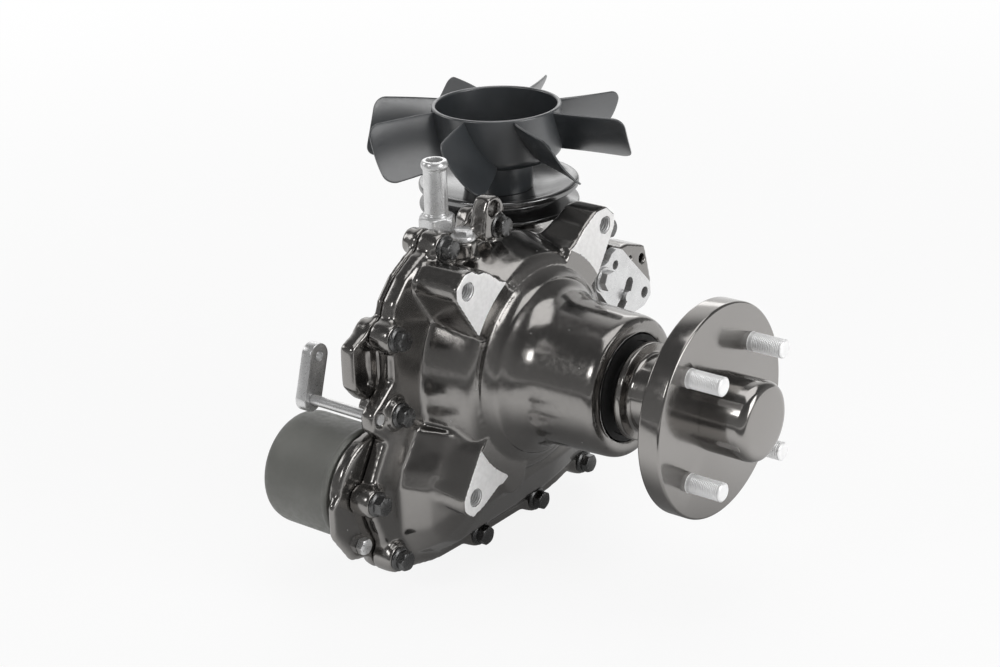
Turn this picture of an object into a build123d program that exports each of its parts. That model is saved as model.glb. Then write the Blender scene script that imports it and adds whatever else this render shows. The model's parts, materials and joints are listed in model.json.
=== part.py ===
from build123d import *
import math
import os

# Hydrostatic transaxle for one drive wheel. Lengths are in millimetres.
# The origin is the centre of the face that the wheel bolts to. X runs outboard along the axle,
# Y runs to the far side, where the control arm is, and Z is up.

# Clearances
run_gap = 0.05          # radial gap of a shaft that turns in a bearing, bush or seal
seat_gap = 0.03         # radial gap of a piece that is pressed or keyed on its seat
bolt_gap = 0.3          # radial gap of a bolt in its hole

# Wheel hub
stud_count = 4
stud_circle = 50.8      # radius of the stud circle
stud_r = 6.35
stud_shank_r = 6.6      # the pressed shank in the wheel flange
stud_reach = 25.0       # how far a stud stands out of the wheel face
stud_head_r = 9.0
stud_head_t = 5.0
hub_disc_r = 71.5
hub_disc_t = 16.0
hub_boss_r = 25.0
hub_back_x = -62.0      # inboard end of the hub
slinger_r = 32.8
slinger_t = 6.0
pilot_r = 25.2
pilot_t = 6.0
cap_r = 26.7
cap_length = 33.4
cap_wall = 1.5

# Axle
axle_r = 17.5
taper_big_r = 16.5
taper_small_r = 13.3
axle_thread_r = 10.0
axle_tip_x = 26.0
axle_collar_r = 21.0
axle_nut_af = 36.0
axle_nut_t = 16.0

# Casings
pad_x = -142.0          # plane of the four machined mounting pads
split_x = -188.0        # joint face of the two casings
flange_t = 11.0         # thickness of the outer casing's flange
bolt_seat_x = -172.0    # seats of the flange bolts
back_x = -298.0         # inboard face of the inner casing
wall = 7.0
pad_half_y = 75.5
pad_half_z = 73.0
pad_middle_z = 3.0      # height of the pads' middle over the axle
pad_hole_r = 5.1
pad_hole_depth = 24.0
case_front_r = 77.0     # gear case, at the pads
case_back_r = 85.0      # gear case, at the flange
gear_room_r = 74.0
horn_r = 50.0
horn_tip_r = 48.0
nose_x = -67.0
nose_edge_r = 44.7
horn_bore_r = 30.0
flange_bolt_r = 4.0
flange_lobe_r = 10.5
flange_bolt_reach = 28.0
flange_bolt_head_r = 8.5

# The flange bolts' places as (y, z), round the joint face.
flange_points = [(-61.0, 95.0), (-5.0, 94.0), (115.0, 57.0), (124.0, -14.0), (124.0, -62.0),
                 (85.0, -115.0), (27.5, -121.0), (-37.0, -121.0), (-121.0, -104.0), (-140.0, -56.0),
                 (-112.5, -3.5), (-112.0, 49.0)]

# The joint face's outline as (y, z). It passes under the pulley and bulges between the bolts.
flange_outline = [(-61.0, 98.0), (-5.0, 96.0), (42.0, 66.0), (122.0, 60.0), (127.0, -14.0),
                  (127.0, -64.0), (87.0, -117.0), (60.0, -124.0), (27.5, -128.0), (-37.0, -128.0),
                  (-78.0, -126.0), (-103.0, -120.0), (-124.0, -104.0), (-143.0, -56.0), (-122.0, -20.0),
                  (-113.0, -2.0), (-113.0, 52.0), (-107.0, 70.0), (-95.0, 83.0), (-78.0, 93.0)]

# The inner casing's cover over the gears: its outline at the flange and at its back.
cover_points = [(-62.0, 92.0), (-4.0, 91.0), (44.0, 60.0), (119.0, 54.0), (121.0, -15.0), (121.0, -60.0),
                (83.0, -112.0), (27.0, -119.0), (-37.0, -119.0), (-70.0, -104.0), (-77.0, -84.0),
                (-76.0, -57.0), (-80.0, -28.0), (-100.0, -12.0), (-107.0, 5.0), (-105.0, 46.0)]
cover_back_points = [(-46.0, 84.0), (-6.0, 86.0), (42.0, 57.0), (119.0, 53.0), (121.0, -15.0), (121.0, -60.0),
                     (83.0, -111.5), (27.0, -117.0), (-34.0, -116.0), (-66.0, -102.0), (-73.0, -84.0),
                     (-72.0, -57.0), (-76.0, -28.0), (-92.0, -12.0), (-97.0, 5.0), (-88.0, 44.0)]
cover_back_x = -211.0

# The inner casing's drive box behind the cover: its outline at the cover and at the back wall.
box_points = [(34.0, 57.0), (119.0, 54.0), (121.0, -15.0), (121.0, -60.0), (83.0, -112.0),
              (27.0, -119.0), (-20.0, -118.0), (-22.0, -50.0), (34.0, -24.0), (34.0, 0.0)]
box_back_points = [(56.0, 53.0), (117.0, 51.0), (118.0, -15.0), (118.0, -60.0), (81.0, -111.0),
                   (27.0, -117.0), (0.0, -116.0), (0.0, -54.0), (50.0, -22.0), (54.0, 0.0)]
box_front_x = -205.0
inner_flange_t = 5.0
inner_boss_x = -202.0       # back ends of the inner casing's bolt bosses
filter_seat_x = -198.0      # face that the filter seals on

# The gear case's lower part on the outer casing: its outline at the flange, at its ridge and at the pads.
low_back = [(-66.0, -24.0), (-92.0, -23.0), (-97.0, -36.0), (-108.0, -46.0), (-112.0, -58.0), (-112.0, -92.0),
            (-101.0, -111.0), (-77.0, -121.0), (28.0, -123.0), (80.0, -113.0), (116.0, -62.0), (116.0, -20.0),
            (0.0, 0.0)]
low_ridge = [(-62.0, -26.0), (-82.0, -25.0), (-88.0, -38.0), (-97.0, -48.0), (-101.0, -62.0), (-100.0, -88.0),
             (-90.0, -102.0), (-70.0, -109.0), (26.0, -106.0), (72.0, -98.0), (104.0, -60.0), (104.0, -22.0),
             (0.0, 0.0)]
low_front = [(-56.0, -30.0), (-66.0, -36.0), (-74.0, -46.0), (-80.0, -56.0), (-82.0, -66.0), (-80.0, -74.0),
             (-70.0, -80.0), (-56.0, -82.0), (24.0, -80.0), (62.0, -76.0), (84.0, -56.0), (84.0, -24.0),
             (0.0, 0.0)]
low_ridge_x = -161.0
low_front_x = -147.0

# The mounting arms' outlines at the pads, on the far side; the near side mirrors them.
upper_arm = [(78.0, 89.0), (87.5, 81.0), (88.0, 73.0), (67.3, 42.2), (62.0, 38.0), (30.0, 60.0), (34.0, 70.0),
             (42.5, 74.0), (52.6, 82.0), (66.0, 89.0)]
lower_arm = [(57.0, -28.0), (70.0, -40.0), (88.0, -68.0), (88.0, -77.0), (80.0, -83.5), (68.0, -81.0),
             (42.0, -68.0), (30.0, -40.0)]
lower_arm_back = [(66.0, -25.0), (92.0, -24.0), (108.0, -46.0), (111.0, -55.0), (104.0, -63.0), (80.0, -70.0),
                  (50.0, -70.0), (30.0, -40.0)]

# Bearings as (bore radius, outer radius, width)
outer_axle_bearing = (axle_r, 36.0, 17.0)
inner_axle_bearing = (10.0, 23.5, 14.0)
jack_bearing = (8.0, 12.5, 10.0)
motor_bearing = (9.0, 14.5, 9.0)
input_bearing = (8.5, 20.0, 12.0)
outer_bearing_x = -75.0     # outboard face of the outer axle bearing
inner_bearing_x = -191.0    # outboard face of the inner axle bearing

# Gear train
bull_teeth = 68
jack_pinion_teeth = 17
final_module = 2.0
jack_gear_teeth = 51
motor_pinion_teeth = 17
first_module = 1.5
pressure_angle = 20.0
backlash = 0.3
bull_x = (-184.0, -166.0)
jack_pinion_x = (-186.0, -164.0)
first_stage_x = (-203.0, -190.0)
jack_angle = -32.0          # direction of the jackshaft from the axle, in degrees from +Y
motor_angle = 222.0         # direction of the motor shaft from the jackshaft

# Input shaft, pulley and fan
input_x = -239.8
input_y = 83.2
input_r = 8.5
pulley_r = 57.15
pulley_z = (72.4, 90.6)
pulley_lip = 3.2
pulley_dish = 5.5       # how far the pulley's web lies below its top lip
pulley_hub_r = 13.0
groove_r = 42.0
fan_top_z = 145.8
cup_outer_r = 45.9
cup_wall = 3.1
cup_floor_z = 112.0
fan_hub_r = 24.6
fan_thread_r = 6.0
fan_tip_r = 95.25
blade_count = 8
blade_start = 22.5          # direction of the first blade from +X
blade_t = 2.2
blade_corner_r = 8.0    # rounding of a blade's two outer corners
blade_root = (144.0, 112.0, 14.2)   # top, bottom and half angle at the cup
blade_tip = (142.4, 106.6, 8.2)     # top, bottom and half angle at the tip

# Pump
pump_block_r = 24.0
pump_block_z = (-28.0, 14.0)
pump_piston_count = 5
pump_piston_circle = 15.0
pump_piston_r = 5.5
swash_z = 32.0
swash_r = 27.0
swash_t = 10.0
trunnion_r = 7.0
roof_z = 68.0
center_plate_z = (-56.0, -28.0)

# Motor
motor_block_r = 25.0
motor_block_x = (-262.0, -226.0)
motor_piston_count = 7
motor_piston_circle = 16.0
motor_piston_r = 4.6
motor_shaft_r = 9.0
center_back_x = -284.0

# Control arm and its stop
arm_x = (-156.0, -150.0)
arm_hub_r = 10.0
arm_hole = (134.0, 6.0)
arm_hole_r = 4.2
arm_eye = (98.3, 38.0)
arm_swing = 15.0
stop_at = (110.4, 10.9)
stop_r = 4.0

# Filter
filter_y = -121.0
filter_z = -57.0
filter_r = 38.5
filter_length = 60.0
filter_seal_t = 0.8

# Bypass lever
bypass_y = -126.0
bypass_z = -3.0
bypass_shaft_r = 3.6
lever_x = (-244.0, -235.4)
lever_w = 17.0
lever_hole = (-117.5, 25.0)
lever_hole_r = 3.2

# Fittings on the top
barb_at = (-199.6, -34.7)
barb_seat_z = 93.0
barb_r = 7.9
barb_bore_r = 5.6
barb_top_z = 143.0
barb_hex_af = 22.2
barb_hex_t = 12.0
vent_at = (-176.8, -36.0)
vent_seat_z = 93.0

jack_y = final_module * (bull_teeth + jack_pinion_teeth) / 2 * math.cos(math.radians(jack_angle))
jack_z = final_module * (bull_teeth + jack_pinion_teeth) / 2 * math.sin(math.radians(jack_angle))
first_distance = first_module * (jack_gear_teeth + motor_pinion_teeth) / 2
motor_y = jack_y + first_distance * math.cos(math.radians(motor_angle))
motor_z = jack_z + first_distance * math.sin(math.radians(motor_angle))


# Shapes used by many pieces

def cyl_x(x0, x1, radius, y=0.0, z=0.0):
    """A cylinder along X, from x0 to x1."""
    disc = Plane.YZ.offset(x0) * Pos(y, z) * Circle(radius)
    return extrude(disc, amount=x1 - x0)


def cyl_z(z0, z1, radius, x=0.0, y=0.0):
    """A cylinder along Z, from z0 to z1."""
    disc = Plane.XY.offset(z0) * Pos(x, y) * Circle(radius)
    return extrude(disc, amount=z1 - z0)


def hex_x(x0, x1, across, y=0.0, z=0.0):
    """A hexagonal prism along X, by its width across the flats."""
    face = Plane.YZ.offset(x0) * Pos(y, z) * RegularPolygon(across / math.sqrt(3), 6)
    return extrude(face, amount=x1 - x0)


def hex_z(z0, z1, across, x=0.0, y=0.0):
    """A hexagonal prism along Z, by its width across the flats."""
    face = Plane.XY.offset(z0) * Pos(x, y) * RegularPolygon(across / math.sqrt(3), 6)
    return extrude(face, amount=z1 - z0)


def prism_x(points, x0, x1, radius=0.0):
    """A prism along X on an outline of (y, z) points, with its corners rounded."""
    if radius > 0:
        line = FilletPolyline(*points, radius=radius, close=True)
    else:
        line = Polyline(*points, close=True)
    return extrude(Plane.YZ.offset(x0) * make_face(line), amount=x1 - x0)


def turned_x(points):
    """A body of revolution about the axle, from a profile of (x, radius) points."""
    profile = make_face(Polyline(*[(x, r, 0) for x, r in points], close=True))
    return revolve(profile, Axis.X)


def turned_z(points, x=input_x, y=input_y):
    """A body of revolution about an upright axis, from a profile of (radius, z) points."""
    profile = make_face(Polyline(*[(r, 0, z) for r, z in points], close=True))
    return Pos(x, y, 0) * revolve(profile, Axis.Z)


def tapered(outline0, x0, outline1, x1):
    """A casting's body between two outlines of (y, z) points on two planes."""
    face0 = Plane.YZ.offset(x0) * make_face(Polyline(*outline0, close=True))
    face1 = Plane.YZ.offset(x1) * make_face(Polyline(*outline1, close=True))
    return loft([face0, face1], ruled=True)


def moved_in(points, distance, scale_about=(0.0, -14.0)):
    """The outline drawn in towards a middle point by a distance at each corner."""
    cy, cz = scale_about
    result = []
    for y, z in points:
        reach = math.hypot(y - cy, z - cz)
        share = (reach - distance) / reach
        result.append((cy + (y - cy) * share, cz + (z - cz) * share))
    return result


def on_circle(count, radius, start=0.0):
    """Places on a circle, as pairs."""
    step = 2 * math.pi / count
    turn = math.radians(start)
    return [(radius * math.cos(turn + k * step), radius * math.sin(turn + k * step)) for k in range(count)]


def bearing_x(sizes, x_front, y=0.0, z=0.0):
    """A sealed ball bearing along X, with its shields sunk between the two races."""
    bore, outer, width = sizes
    race = (outer - bore) * 0.28
    ring = cyl_x(x_front - width, x_front, outer, y, z)
    ring -= cyl_x(x_front - width, x_front, bore + run_gap, y, z)
    for x0, x1 in ((x_front - 0.8, x_front), (x_front - width, x_front - width + 0.8)):
        ring -= cyl_x(x0, x1, outer - race, y, z) - cyl_x(x0, x1, bore + race, y, z)
    return ring


def involute_gear(teeth, module, x0, x1, bore_r, turn=0.0, y=0.0, z=0.0):
    """A spur gear along X. Each flank is an involute of the base circle, thinned by the backlash."""
    pitch_r = module * teeth / 2
    base_r = pitch_r * math.cos(math.radians(pressure_angle))
    tip_r = pitch_r + module
    root_r = pitch_r - 1.25 * module
    pressure = math.radians(pressure_angle)
    half_tooth = (math.pi * module / 2 - backlash / 2) / 2 / pitch_r + math.tan(pressure) - pressure
    flank_start = max(base_r, root_r)
    flank = []
    for step in range(4):
        radius = flank_start + (tip_r - flank_start) * step / 3
        angle = math.acos(min(1.0, base_r / radius))
        flank.append((radius, half_tooth - (math.tan(angle) - angle)))
    if root_r < base_r:
        flank.insert(0, (root_r, flank[0][1]))
    outline = []
    for tooth in range(teeth):
        middle = math.radians(turn) + 2 * math.pi * tooth / teeth
        for radius, half in flank:
            outline.append((radius * math.cos(middle - half), radius * math.sin(middle - half)))
        for radius, half in reversed(flank):
            outline.append((radius * math.cos(middle + half), radius * math.sin(middle + half)))
    face = Plane.YZ.offset(x0) * Pos(y, z) * make_face(Polyline(*outline, close=True))
    blank = extrude(face, amount=x1 - x0)
    if bore_r > 0:
        blank -= cyl_x(x0, x1, bore_r, y, z)
    return blank


# Wheel end

def wheel_hub():
    """The wheel flange, its long boss with a slinger ring, and the pilot under the dust cap."""
    body = turned_x([(hub_back_x, 0), (hub_back_x, slinger_r - 1.5), (hub_back_x + 1.5, slinger_r),
                     (hub_back_x + slinger_t, slinger_r), (hub_back_x + slinger_t, hub_boss_r),
                     (-hub_disc_t - 4, hub_boss_r), (-hub_disc_t, hub_boss_r + 4),
                     (-hub_disc_t, hub_disc_r - 1), (-hub_disc_t + 1, hub_disc_r),
                     (-1, hub_disc_r), (0, hub_disc_r - 1), (0, pilot_r), (pilot_t, pilot_r), (pilot_t, 0)])
    body -= turned_x([(hub_back_x, 0), (hub_back_x, taper_big_r + seat_gap),
                      (pilot_t, taper_small_r + seat_gap), (pilot_t, 0)])
    for y, z in on_circle(stud_count, stud_circle, 45):
        body -= cyl_x(-hub_disc_t, 0, stud_shank_r + seat_gap, y, z)
    return body - key_way(seat_gap)


def key_way(gap):
    """The axle key's space, along the top of the taper."""
    return Pos(-30, 0, taper_big_r - 1) * Box(24 + 2 * gap, 6 + 2 * gap, 8 + 2 * gap)


def wheel_studs():
    """Four studs with round heads behind the wheel flange and shanks that are pressed into it."""
    head_x = -hub_disc_t - stud_head_t
    studs = []
    for y, z in on_circle(stud_count, stud_circle, 45):
        studs.append(Pos(0, y, z) * turned_x([
            (head_x, 0), (head_x, stud_head_r), (-hub_disc_t, stud_head_r), (-hub_disc_t, stud_shank_r),
            (0, stud_shank_r), (0, stud_r), (stud_reach - 1.5, stud_r), (stud_reach, stud_r - 1.5),
            (stud_reach, 0)]))
    return studs


def hub_cap():
    """The pressed dust cap over the axle nut, with a rounded rim."""
    shell = cyl_x(0, cap_length, cap_r)
    shell = fillet(shell.edges().sort_by(Axis.X)[-1], 6)
    inside = cyl_x(0, cap_length - cap_wall, cap_r - cap_wall)
    inside = fillet(inside.edges().sort_by(Axis.X)[-1], 4.5)
    return shell - inside


def hub_nut():
    """The slotted axle nut."""
    nut = hex_x(pilot_t, pilot_t + axle_nut_t, axle_nut_af)
    nut &= turned_x([(pilot_t, 0), (pilot_t, 20.8), (pilot_t + axle_nut_t - 2, 20.8),
                     (pilot_t + axle_nut_t, 17), (pilot_t + axle_nut_t, 0)])
    nut -= cyl_x(pilot_t, pilot_t + axle_nut_t, axle_thread_r + seat_gap)
    for k in range(3):
        nut -= Rot(60 * k, 0, 0) * Pos(pilot_t + axle_nut_t - 2.5, 0, 0) * Box(5, 60, 4)
    return nut


def axle_shaft():
    """The axle: inner journal, gear seat, collar, bearing seat, taper and thread."""
    inner_bore = inner_axle_bearing[0]
    body = turned_x([(inner_bearing_x - inner_axle_bearing[2] - 2, 0),
                     (inner_bearing_x - inner_axle_bearing[2] - 2, inner_bore),
                     (inner_bearing_x, inner_bore), (inner_bearing_x, axle_r), (bull_x[1], axle_r),
                     (bull_x[1], axle_collar_r), (bull_x[1] + 5, axle_collar_r),
                     (bull_x[1] + 5, axle_r), (hub_back_x - 1, axle_r), (hub_back_x - 1, taper_big_r + 0.05),
                     (hub_back_x, taper_big_r), (pilot_t, taper_small_r), (pilot_t, axle_thread_r),
                     (axle_tip_x - 1.5, axle_thread_r), (axle_tip_x, axle_thread_r - 1.5), (axle_tip_x, 0)])
    return body - key_way(seat_gap)


def hub_key():
    """The key between the axle's taper and the hub."""
    return key_way(0)


def bull_gear():
    """The final drive gear, with a thinned web and six holes."""
    gear = involute_gear(bull_teeth, final_module, bull_x[0], bull_x[1], axle_r + seat_gap, mesh_turn())
    for x0, x1 in ((bull_x[0], bull_x[0] + 4.5), (bull_x[1] - 4.5, bull_x[1])):
        gear -= cyl_x(x0, x1, 58) - cyl_x(x0, x1, 27)
    for y, z in on_circle(6, 42):
        gear -= cyl_x(bull_x[0], bull_x[1], 9, y, z)
    return gear


def axle_seal():
    """The lip seal in the nose of the axle horn."""
    outer = outer_axle_bearing[1]
    return turned_x([(outer_bearing_x + 0.2, axle_r + run_gap), (outer_bearing_x + 0.2, outer - seat_gap),
                     (nose_x - 0.5, outer - seat_gap), (nose_x - 0.5, outer - 4), (nose_x - 2.5, outer - 5),
                     (nose_x - 2.5, axle_r + 5), (nose_x - 0.5, axle_r + 2),
                     (nose_x - 0.5, axle_r + run_gap)])


# Gear train between motor and axle

def jackshaft():
    """The jackshaft with its pinion in one piece."""
    journal = jack_bearing[0]
    shaft = cyl_x(jack_pinion_x[1], jack_pinion_x[1] + 12, journal, jack_y, jack_z)
    shaft += cyl_x(first_stage_x[0], jack_pinion_x[0], 10, jack_y, jack_z)
    shaft += cyl_x(first_stage_x[0] - 14, first_stage_x[0], journal, jack_y, jack_z)
    turn = jack_angle + 180 + 180 / jack_pinion_teeth
    shaft += involute_gear(jack_pinion_teeth, final_module, jack_pinion_x[0], jack_pinion_x[1], 0,
                           turn, jack_y, jack_z)
    return shaft


def mesh_turn():
    """The turn of the bull gear that puts a tooth on the line to the jackshaft."""
    pitch = 360 / bull_teeth
    return jack_angle % pitch


def jackshaft_gear():
    """The first reduction's large gear, on the jackshaft, with a thinned web."""
    x0, x1 = first_stage_x
    gear = involute_gear(jack_gear_teeth, first_module, x0, x1, 10 + seat_gap, motor_angle, jack_y, jack_z)
    gear -= cyl_x(x1 - 3, x1, 32, jack_y, jack_z) - cyl_x(x1 - 3, x1, 17, jack_y, jack_z)
    for y, z in on_circle(5, 24, 20):
        gear -= cyl_x(x0, x1, 5, jack_y + y, jack_z + z)
    return gear


def jackshaft_bearings():
    """The jackshaft's two bearings."""
    outer = bearing_x(jack_bearing, jack_pinion_x[1] + 11, jack_y, jack_z)
    inner = bearing_x(jack_bearing, first_stage_x[0] - 2, jack_y, jack_z)
    return [outer, inner]


def motor_shaft():
    """The motor shaft with its pinion in one piece."""
    x0, x1 = first_stage_x
    shaft = cyl_x(center_back_x + 4, x0, motor_shaft_r, motor_y, motor_z)
    shaft += cyl_x(x1, split_x + motor_bearing[2] + 1, motor_shaft_r, motor_y, motor_z)
    turn = motor_angle + 180 + 180 / motor_pinion_teeth
    shaft += involute_gear(motor_pinion_teeth, first_module, x0, x1, 0, turn, motor_y, motor_z)
    return shaft


def motor_block():
    """The motor's cylinder block, bored for its pistons."""
    x0, x1 = motor_block_x
    block = cyl_x(x0, x1, motor_block_r, motor_y, motor_z)
    block -= cyl_x(x0, x1, motor_shaft_r + seat_gap, motor_y, motor_z)
    for y, z in on_circle(motor_piston_count, motor_piston_circle):
        block -= cyl_x(x0 + 8, x1, motor_piston_r + seat_gap, motor_y + y, motor_z + z)
    return block


def motor_pistons():
    """Hollow pistons, standing out of the block towards the thrust plate."""
    x0, x1 = motor_block_x
    pistons = []
    for y, z in on_circle(motor_piston_count, motor_piston_circle):
        piston = cyl_x(x0 + 14, x1 + 4, motor_piston_r, motor_y + y, motor_z + z)
        piston -= cyl_x(x0 + 14, x1 - 6, motor_piston_r - 1.8, motor_y + y, motor_z + z)
        pistons.append(piston)
    return pistons


def motor_swashplate():
    """The motor's fixed thrust plate, inclined on its piston side, on two legs to the centre section."""
    near = motor_block_x[1] + 4.4
    far = first_stage_x[0] - 1.5
    slope = 8.0
    r = motor_block_r
    side = Plane.XZ * make_face(Polyline((near, r), (far, r), (far, -r), (near + slope, -r), close=True))
    wedge = Pos(0, motor_y, motor_z) * extrude(side, amount=r, both=True)
    plate = wedge & cyl_x(near, far, r, motor_y, motor_z)
    for side_y in (-1, 1):
        leg_y = motor_y + side_y * (r + 4)
        leg = Box(far - motor_block_x[0], 6, 16, align=(Align.MAX, Align.CENTER, Align.CENTER))
        plate += Pos(far, leg_y, motor_z) * leg
        foot = Box(6, 8, 16, align=(Align.MAX, Align.CENTER, Align.CENTER))
        plate += Pos(far, motor_y + side_y * (r - 1), motor_z) * foot
    return plate - cyl_x(near, far, motor_shaft_r + 1.5, motor_y, motor_z)


# Pump, centre section and controls

def center_lugs():
    """The places of the centre section's bolts, as (y, z)."""
    return [(48.0, -44.0), (64.0, -63.5), (82.0, -78.5)]


def box_x(x0, x1, y0, y1, z0, z1):
    """A block between six planes."""
    corner = (Align.MIN, Align.MIN, Align.MIN)
    return Pos(x0, y0, z0) * Box(x1 - x0, y1 - y0, z1 - z0, align=corner)


def center_section():
    """The iron block that carries pump and motor, with the ports between them."""
    x0, x1 = center_back_x, motor_block_x[0]
    bottom, top = center_plate_z
    far = input_y + pump_block_r + 0.8
    jack_x = first_stage_x[0] - 2
    block = cyl_x(x0, x1, motor_block_r + 2, motor_y, motor_z)
    link = [(motor_y, motor_z - 6), (86, motor_z - 6), (far - 1, bottom - 2), (far - 1, top), (58, top),
            (52, top - 8), (motor_y, top - 20)]
    block += prism_x(link, x0, x1)
    block += box_x(x0, input_x + pump_block_r + 2, input_y - pump_block_r - 2, far, bottom, top)
    block += cyl_x(jack_x - 11, jack_x, 16, jack_y, jack_z)
    block += box_x(input_x, jack_x - 8, jack_y - 12, jack_y + 12, bottom, jack_z + 10)
    block -= cyl_x(jack_x - 13, jack_x, jack_bearing[1], jack_y, jack_z)
    block -= cyl_x(x0 + 3, x1, motor_shaft_r + run_gap, motor_y, motor_z)
    block -= cyl_z(bottom, top, input_r + run_gap, input_x, input_y)
    for side in (-1, 1):
        y = input_y + side * pump_piston_circle
        block -= box_x(input_x - 8, input_x + 8, y - 3, y + 3, top - 12, top)
        z = motor_z + side * motor_piston_circle
        block -= box_x(x1 - 10, x1, motor_y - 7, motor_y + 7, z - 2.5, z + 2.5)
    for y, z in center_lugs():
        block += cyl_x(x0, x1, 9, y, z)
        block -= cyl_x(x0, x1, 4 + bolt_gap, y, z)
    return block


def center_section_bolts():
    """Three bolts from the centre section into the inner casing's posts."""
    bolts = []
    for y, z in center_lugs():
        x1 = motor_block_x[0]
        bolt = cyl_x(center_back_x - 5, x1, 4, y, z) + cyl_x(x1, x1 + 5, 6.5, y, z)
        bolts.append(bolt - hex_x(x1 + 2, x1 + 5, 6, y, z))
    return bolts


def input_shaft():
    """The upright input shaft, threaded at its top for the fan nut."""
    bottom = center_plate_z[0] - 9
    shoulder = pulley_hub_top() - 1
    top = fan_nut_top() + 3
    return turned_z([(0, bottom), (input_r, bottom), (input_r, shoulder), (fan_thread_r, shoulder),
                     (fan_thread_r, top - 1), (fan_thread_r - 1, top), (0, top)])


def pulley_hub_top():
    """The height where the pulley's hub meets the fan's floor."""
    return cup_floor_z - 4


def fan_nut_top():
    """The top of the fan nut."""
    return cup_floor_z + 9


def input_shaft_bearing():
    """The ball bearing in the inner casing's roof."""
    upright = Rot(0, -90, 0) * bearing_x(input_bearing, 0)
    return Pos(input_x, input_y, roof_z - 6) * upright


def input_seal():
    """The lip seal over the input bearing."""
    outer = input_bearing[1] - 4
    z0, z1 = roof_z - 5.8, roof_z - 0.3
    return turned_z([(input_r + run_gap, z0), (outer - seat_gap, z0), (outer - seat_gap, z1), (outer - 3, z1),
                     (outer - 4, z1 - 1.5), (input_r + 3, z1 - 1.5), (input_r + run_gap, z1)])


def pump_block():
    """The pump's cylinder block, bored for its pistons."""
    z0, z1 = pump_block_z
    block = cyl_z(z0, z1, pump_block_r, input_x, input_y)
    block -= cyl_z(z0, z1, input_r + seat_gap, input_x, input_y)
    for x, y in on_circle(pump_piston_count, pump_piston_circle):
        block -= cyl_z(z0 + 8, z1, pump_piston_r + seat_gap, input_x + x, input_y + y)
    return block


def pump_pistons():
    """Hollow pump pistons at middle stroke."""
    z0, z1 = pump_block_z
    pistons = []
    for x, y in on_circle(pump_piston_count, pump_piston_circle):
        piston = cyl_z(z0 + 16, z1 + 4, pump_piston_r, input_x + x, input_y + y)
        piston -= cyl_z(z0 + 16, z1 - 4, pump_piston_r - 2, input_x + x, input_y + y)
        pistons.append(piston)
    return pistons


def swashplate():
    """The tilting swashplate with its two trunnions. The outboard one carries the control arm."""
    z0, z1 = swash_z - swash_t * 0.6, swash_z + swash_t * 0.4
    plate = cyl_z(z0, z1, swash_r, input_x, input_y)
    cheek = Pos(input_x, input_y, swash_z) * Box(2 * swash_r - 4, 20, 16)
    plate += cheek - cyl_z(swash_z - 9, z0, swash_r, input_x, input_y)
    plate += cyl_x(input_x + swash_r - 4, arm_x[1], trunnion_r, input_y, swash_z)
    plate += cyl_x(stub_end(), input_x - swash_r + 4, trunnion_r, input_y, swash_z)
    return plate - cyl_z(swash_z - 10, swash_z + 10, input_r + 5, input_x, input_y)


def stub_end():
    """The inboard end of the swashplate's short trunnion."""
    return input_x - swash_r - 14


def trunnion_bushes():
    """The bush in the outer casing and the one in the inner casing's boss."""
    outer = cyl_x(split_x + 2, arm_x[0] - 8, trunnion_r + 2.5, input_y, swash_z)
    outer -= cyl_x(split_x + 2, arm_x[0] - 8, trunnion_r + run_gap, input_y, swash_z)
    inner = cyl_x(stub_end() - 1, stub_end() + 11, trunnion_r + 2.5, input_y, swash_z)
    inner -= cyl_x(stub_end() - 1, stub_end() + 11, trunnion_r + run_gap, input_y, swash_z)
    return [outer, inner]


def trunnion_seal():
    """The seal between the trunnion's bush and the control arm."""
    x0, x1 = arm_x[0] - 7.5, arm_x[0] - 2.5
    seal = cyl_x(x0, x1, trunnion_r + 4, input_y, swash_z)
    return seal - cyl_x(x0, x1, trunnion_r + run_gap, input_y, swash_z)


def control_arm():
    """The plated control arm: a hub, a rod hole and an arc slot that its stop pin limits."""
    x0, x1 = arm_x
    outline = [(90, 43), (94, 47.5), (100, 49.3), (107, 47), (114, 39.5), (141, 12), (142, 2), (134, -4),
               (112, -6), (98, -4), (88, 12), (78, 24), (78, 40)]
    arm = prism_x(outline, x0, x1, 3)
    arm += cyl_x(x0, x1, arm_hub_r, input_y, swash_z)
    arm -= cyl_x(x0, x1, trunnion_r + seat_gap, input_y, swash_z)
    arm -= cyl_x(x0, x1, arm_hole_r, *arm_hole)
    arm -= cyl_x(x0, x1, 3.4, *arm_eye)
    reach_y, reach_z = stop_at[0] - input_y, stop_at[1] - swash_z
    radius = math.hypot(reach_y, reach_z)
    middle = math.degrees(math.atan2(reach_z, reach_y))
    half_width = stop_r + 0.5
    half_sweep = arm_swing + 0.6
    ring = cyl_x(x0, x1, radius + half_width, input_y, swash_z)
    ring -= cyl_x(x0, x1, radius - half_width, input_y, swash_z)
    ends = []
    for side in (-1, 1):
        turn = math.radians(middle + side * half_sweep)
        ends.append((input_y + 2 * radius * math.cos(turn), swash_z + 2 * radius * math.sin(turn)))
        arm -= cyl_x(x0, x1, half_width, input_y + radius * math.cos(turn), swash_z + radius * math.sin(turn))
    sector = prism_x([(input_y, swash_z), ends[0], ends[1]], x0, x1)
    return arm - (ring & sector)


def arm_bolt():
    """The bolt and washer on the trunnion's end."""
    x1 = arm_x[1]
    return cyl_x(x1, x1 + 1.6, 9, input_y, swash_z) + hex_x(x1 + 1.6, x1 + 7, 13, input_y, swash_z)


def stop_pin():
    """The fixed pin in the control arm's slot."""
    x0 = split_x + flange_t - 8
    return cyl_x(x0, arm_x[1] + 3, stop_r, *stop_at)


def charge_pump_cover():
    """The charge pump's cover under the centre section."""
    z1 = center_plate_z[0]
    cover = cyl_z(z1 - 12, z1, 18, input_x, input_y)
    cover -= cyl_z(z1 - 9.5, z1, 13, input_x, input_y)
    return cover


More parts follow.
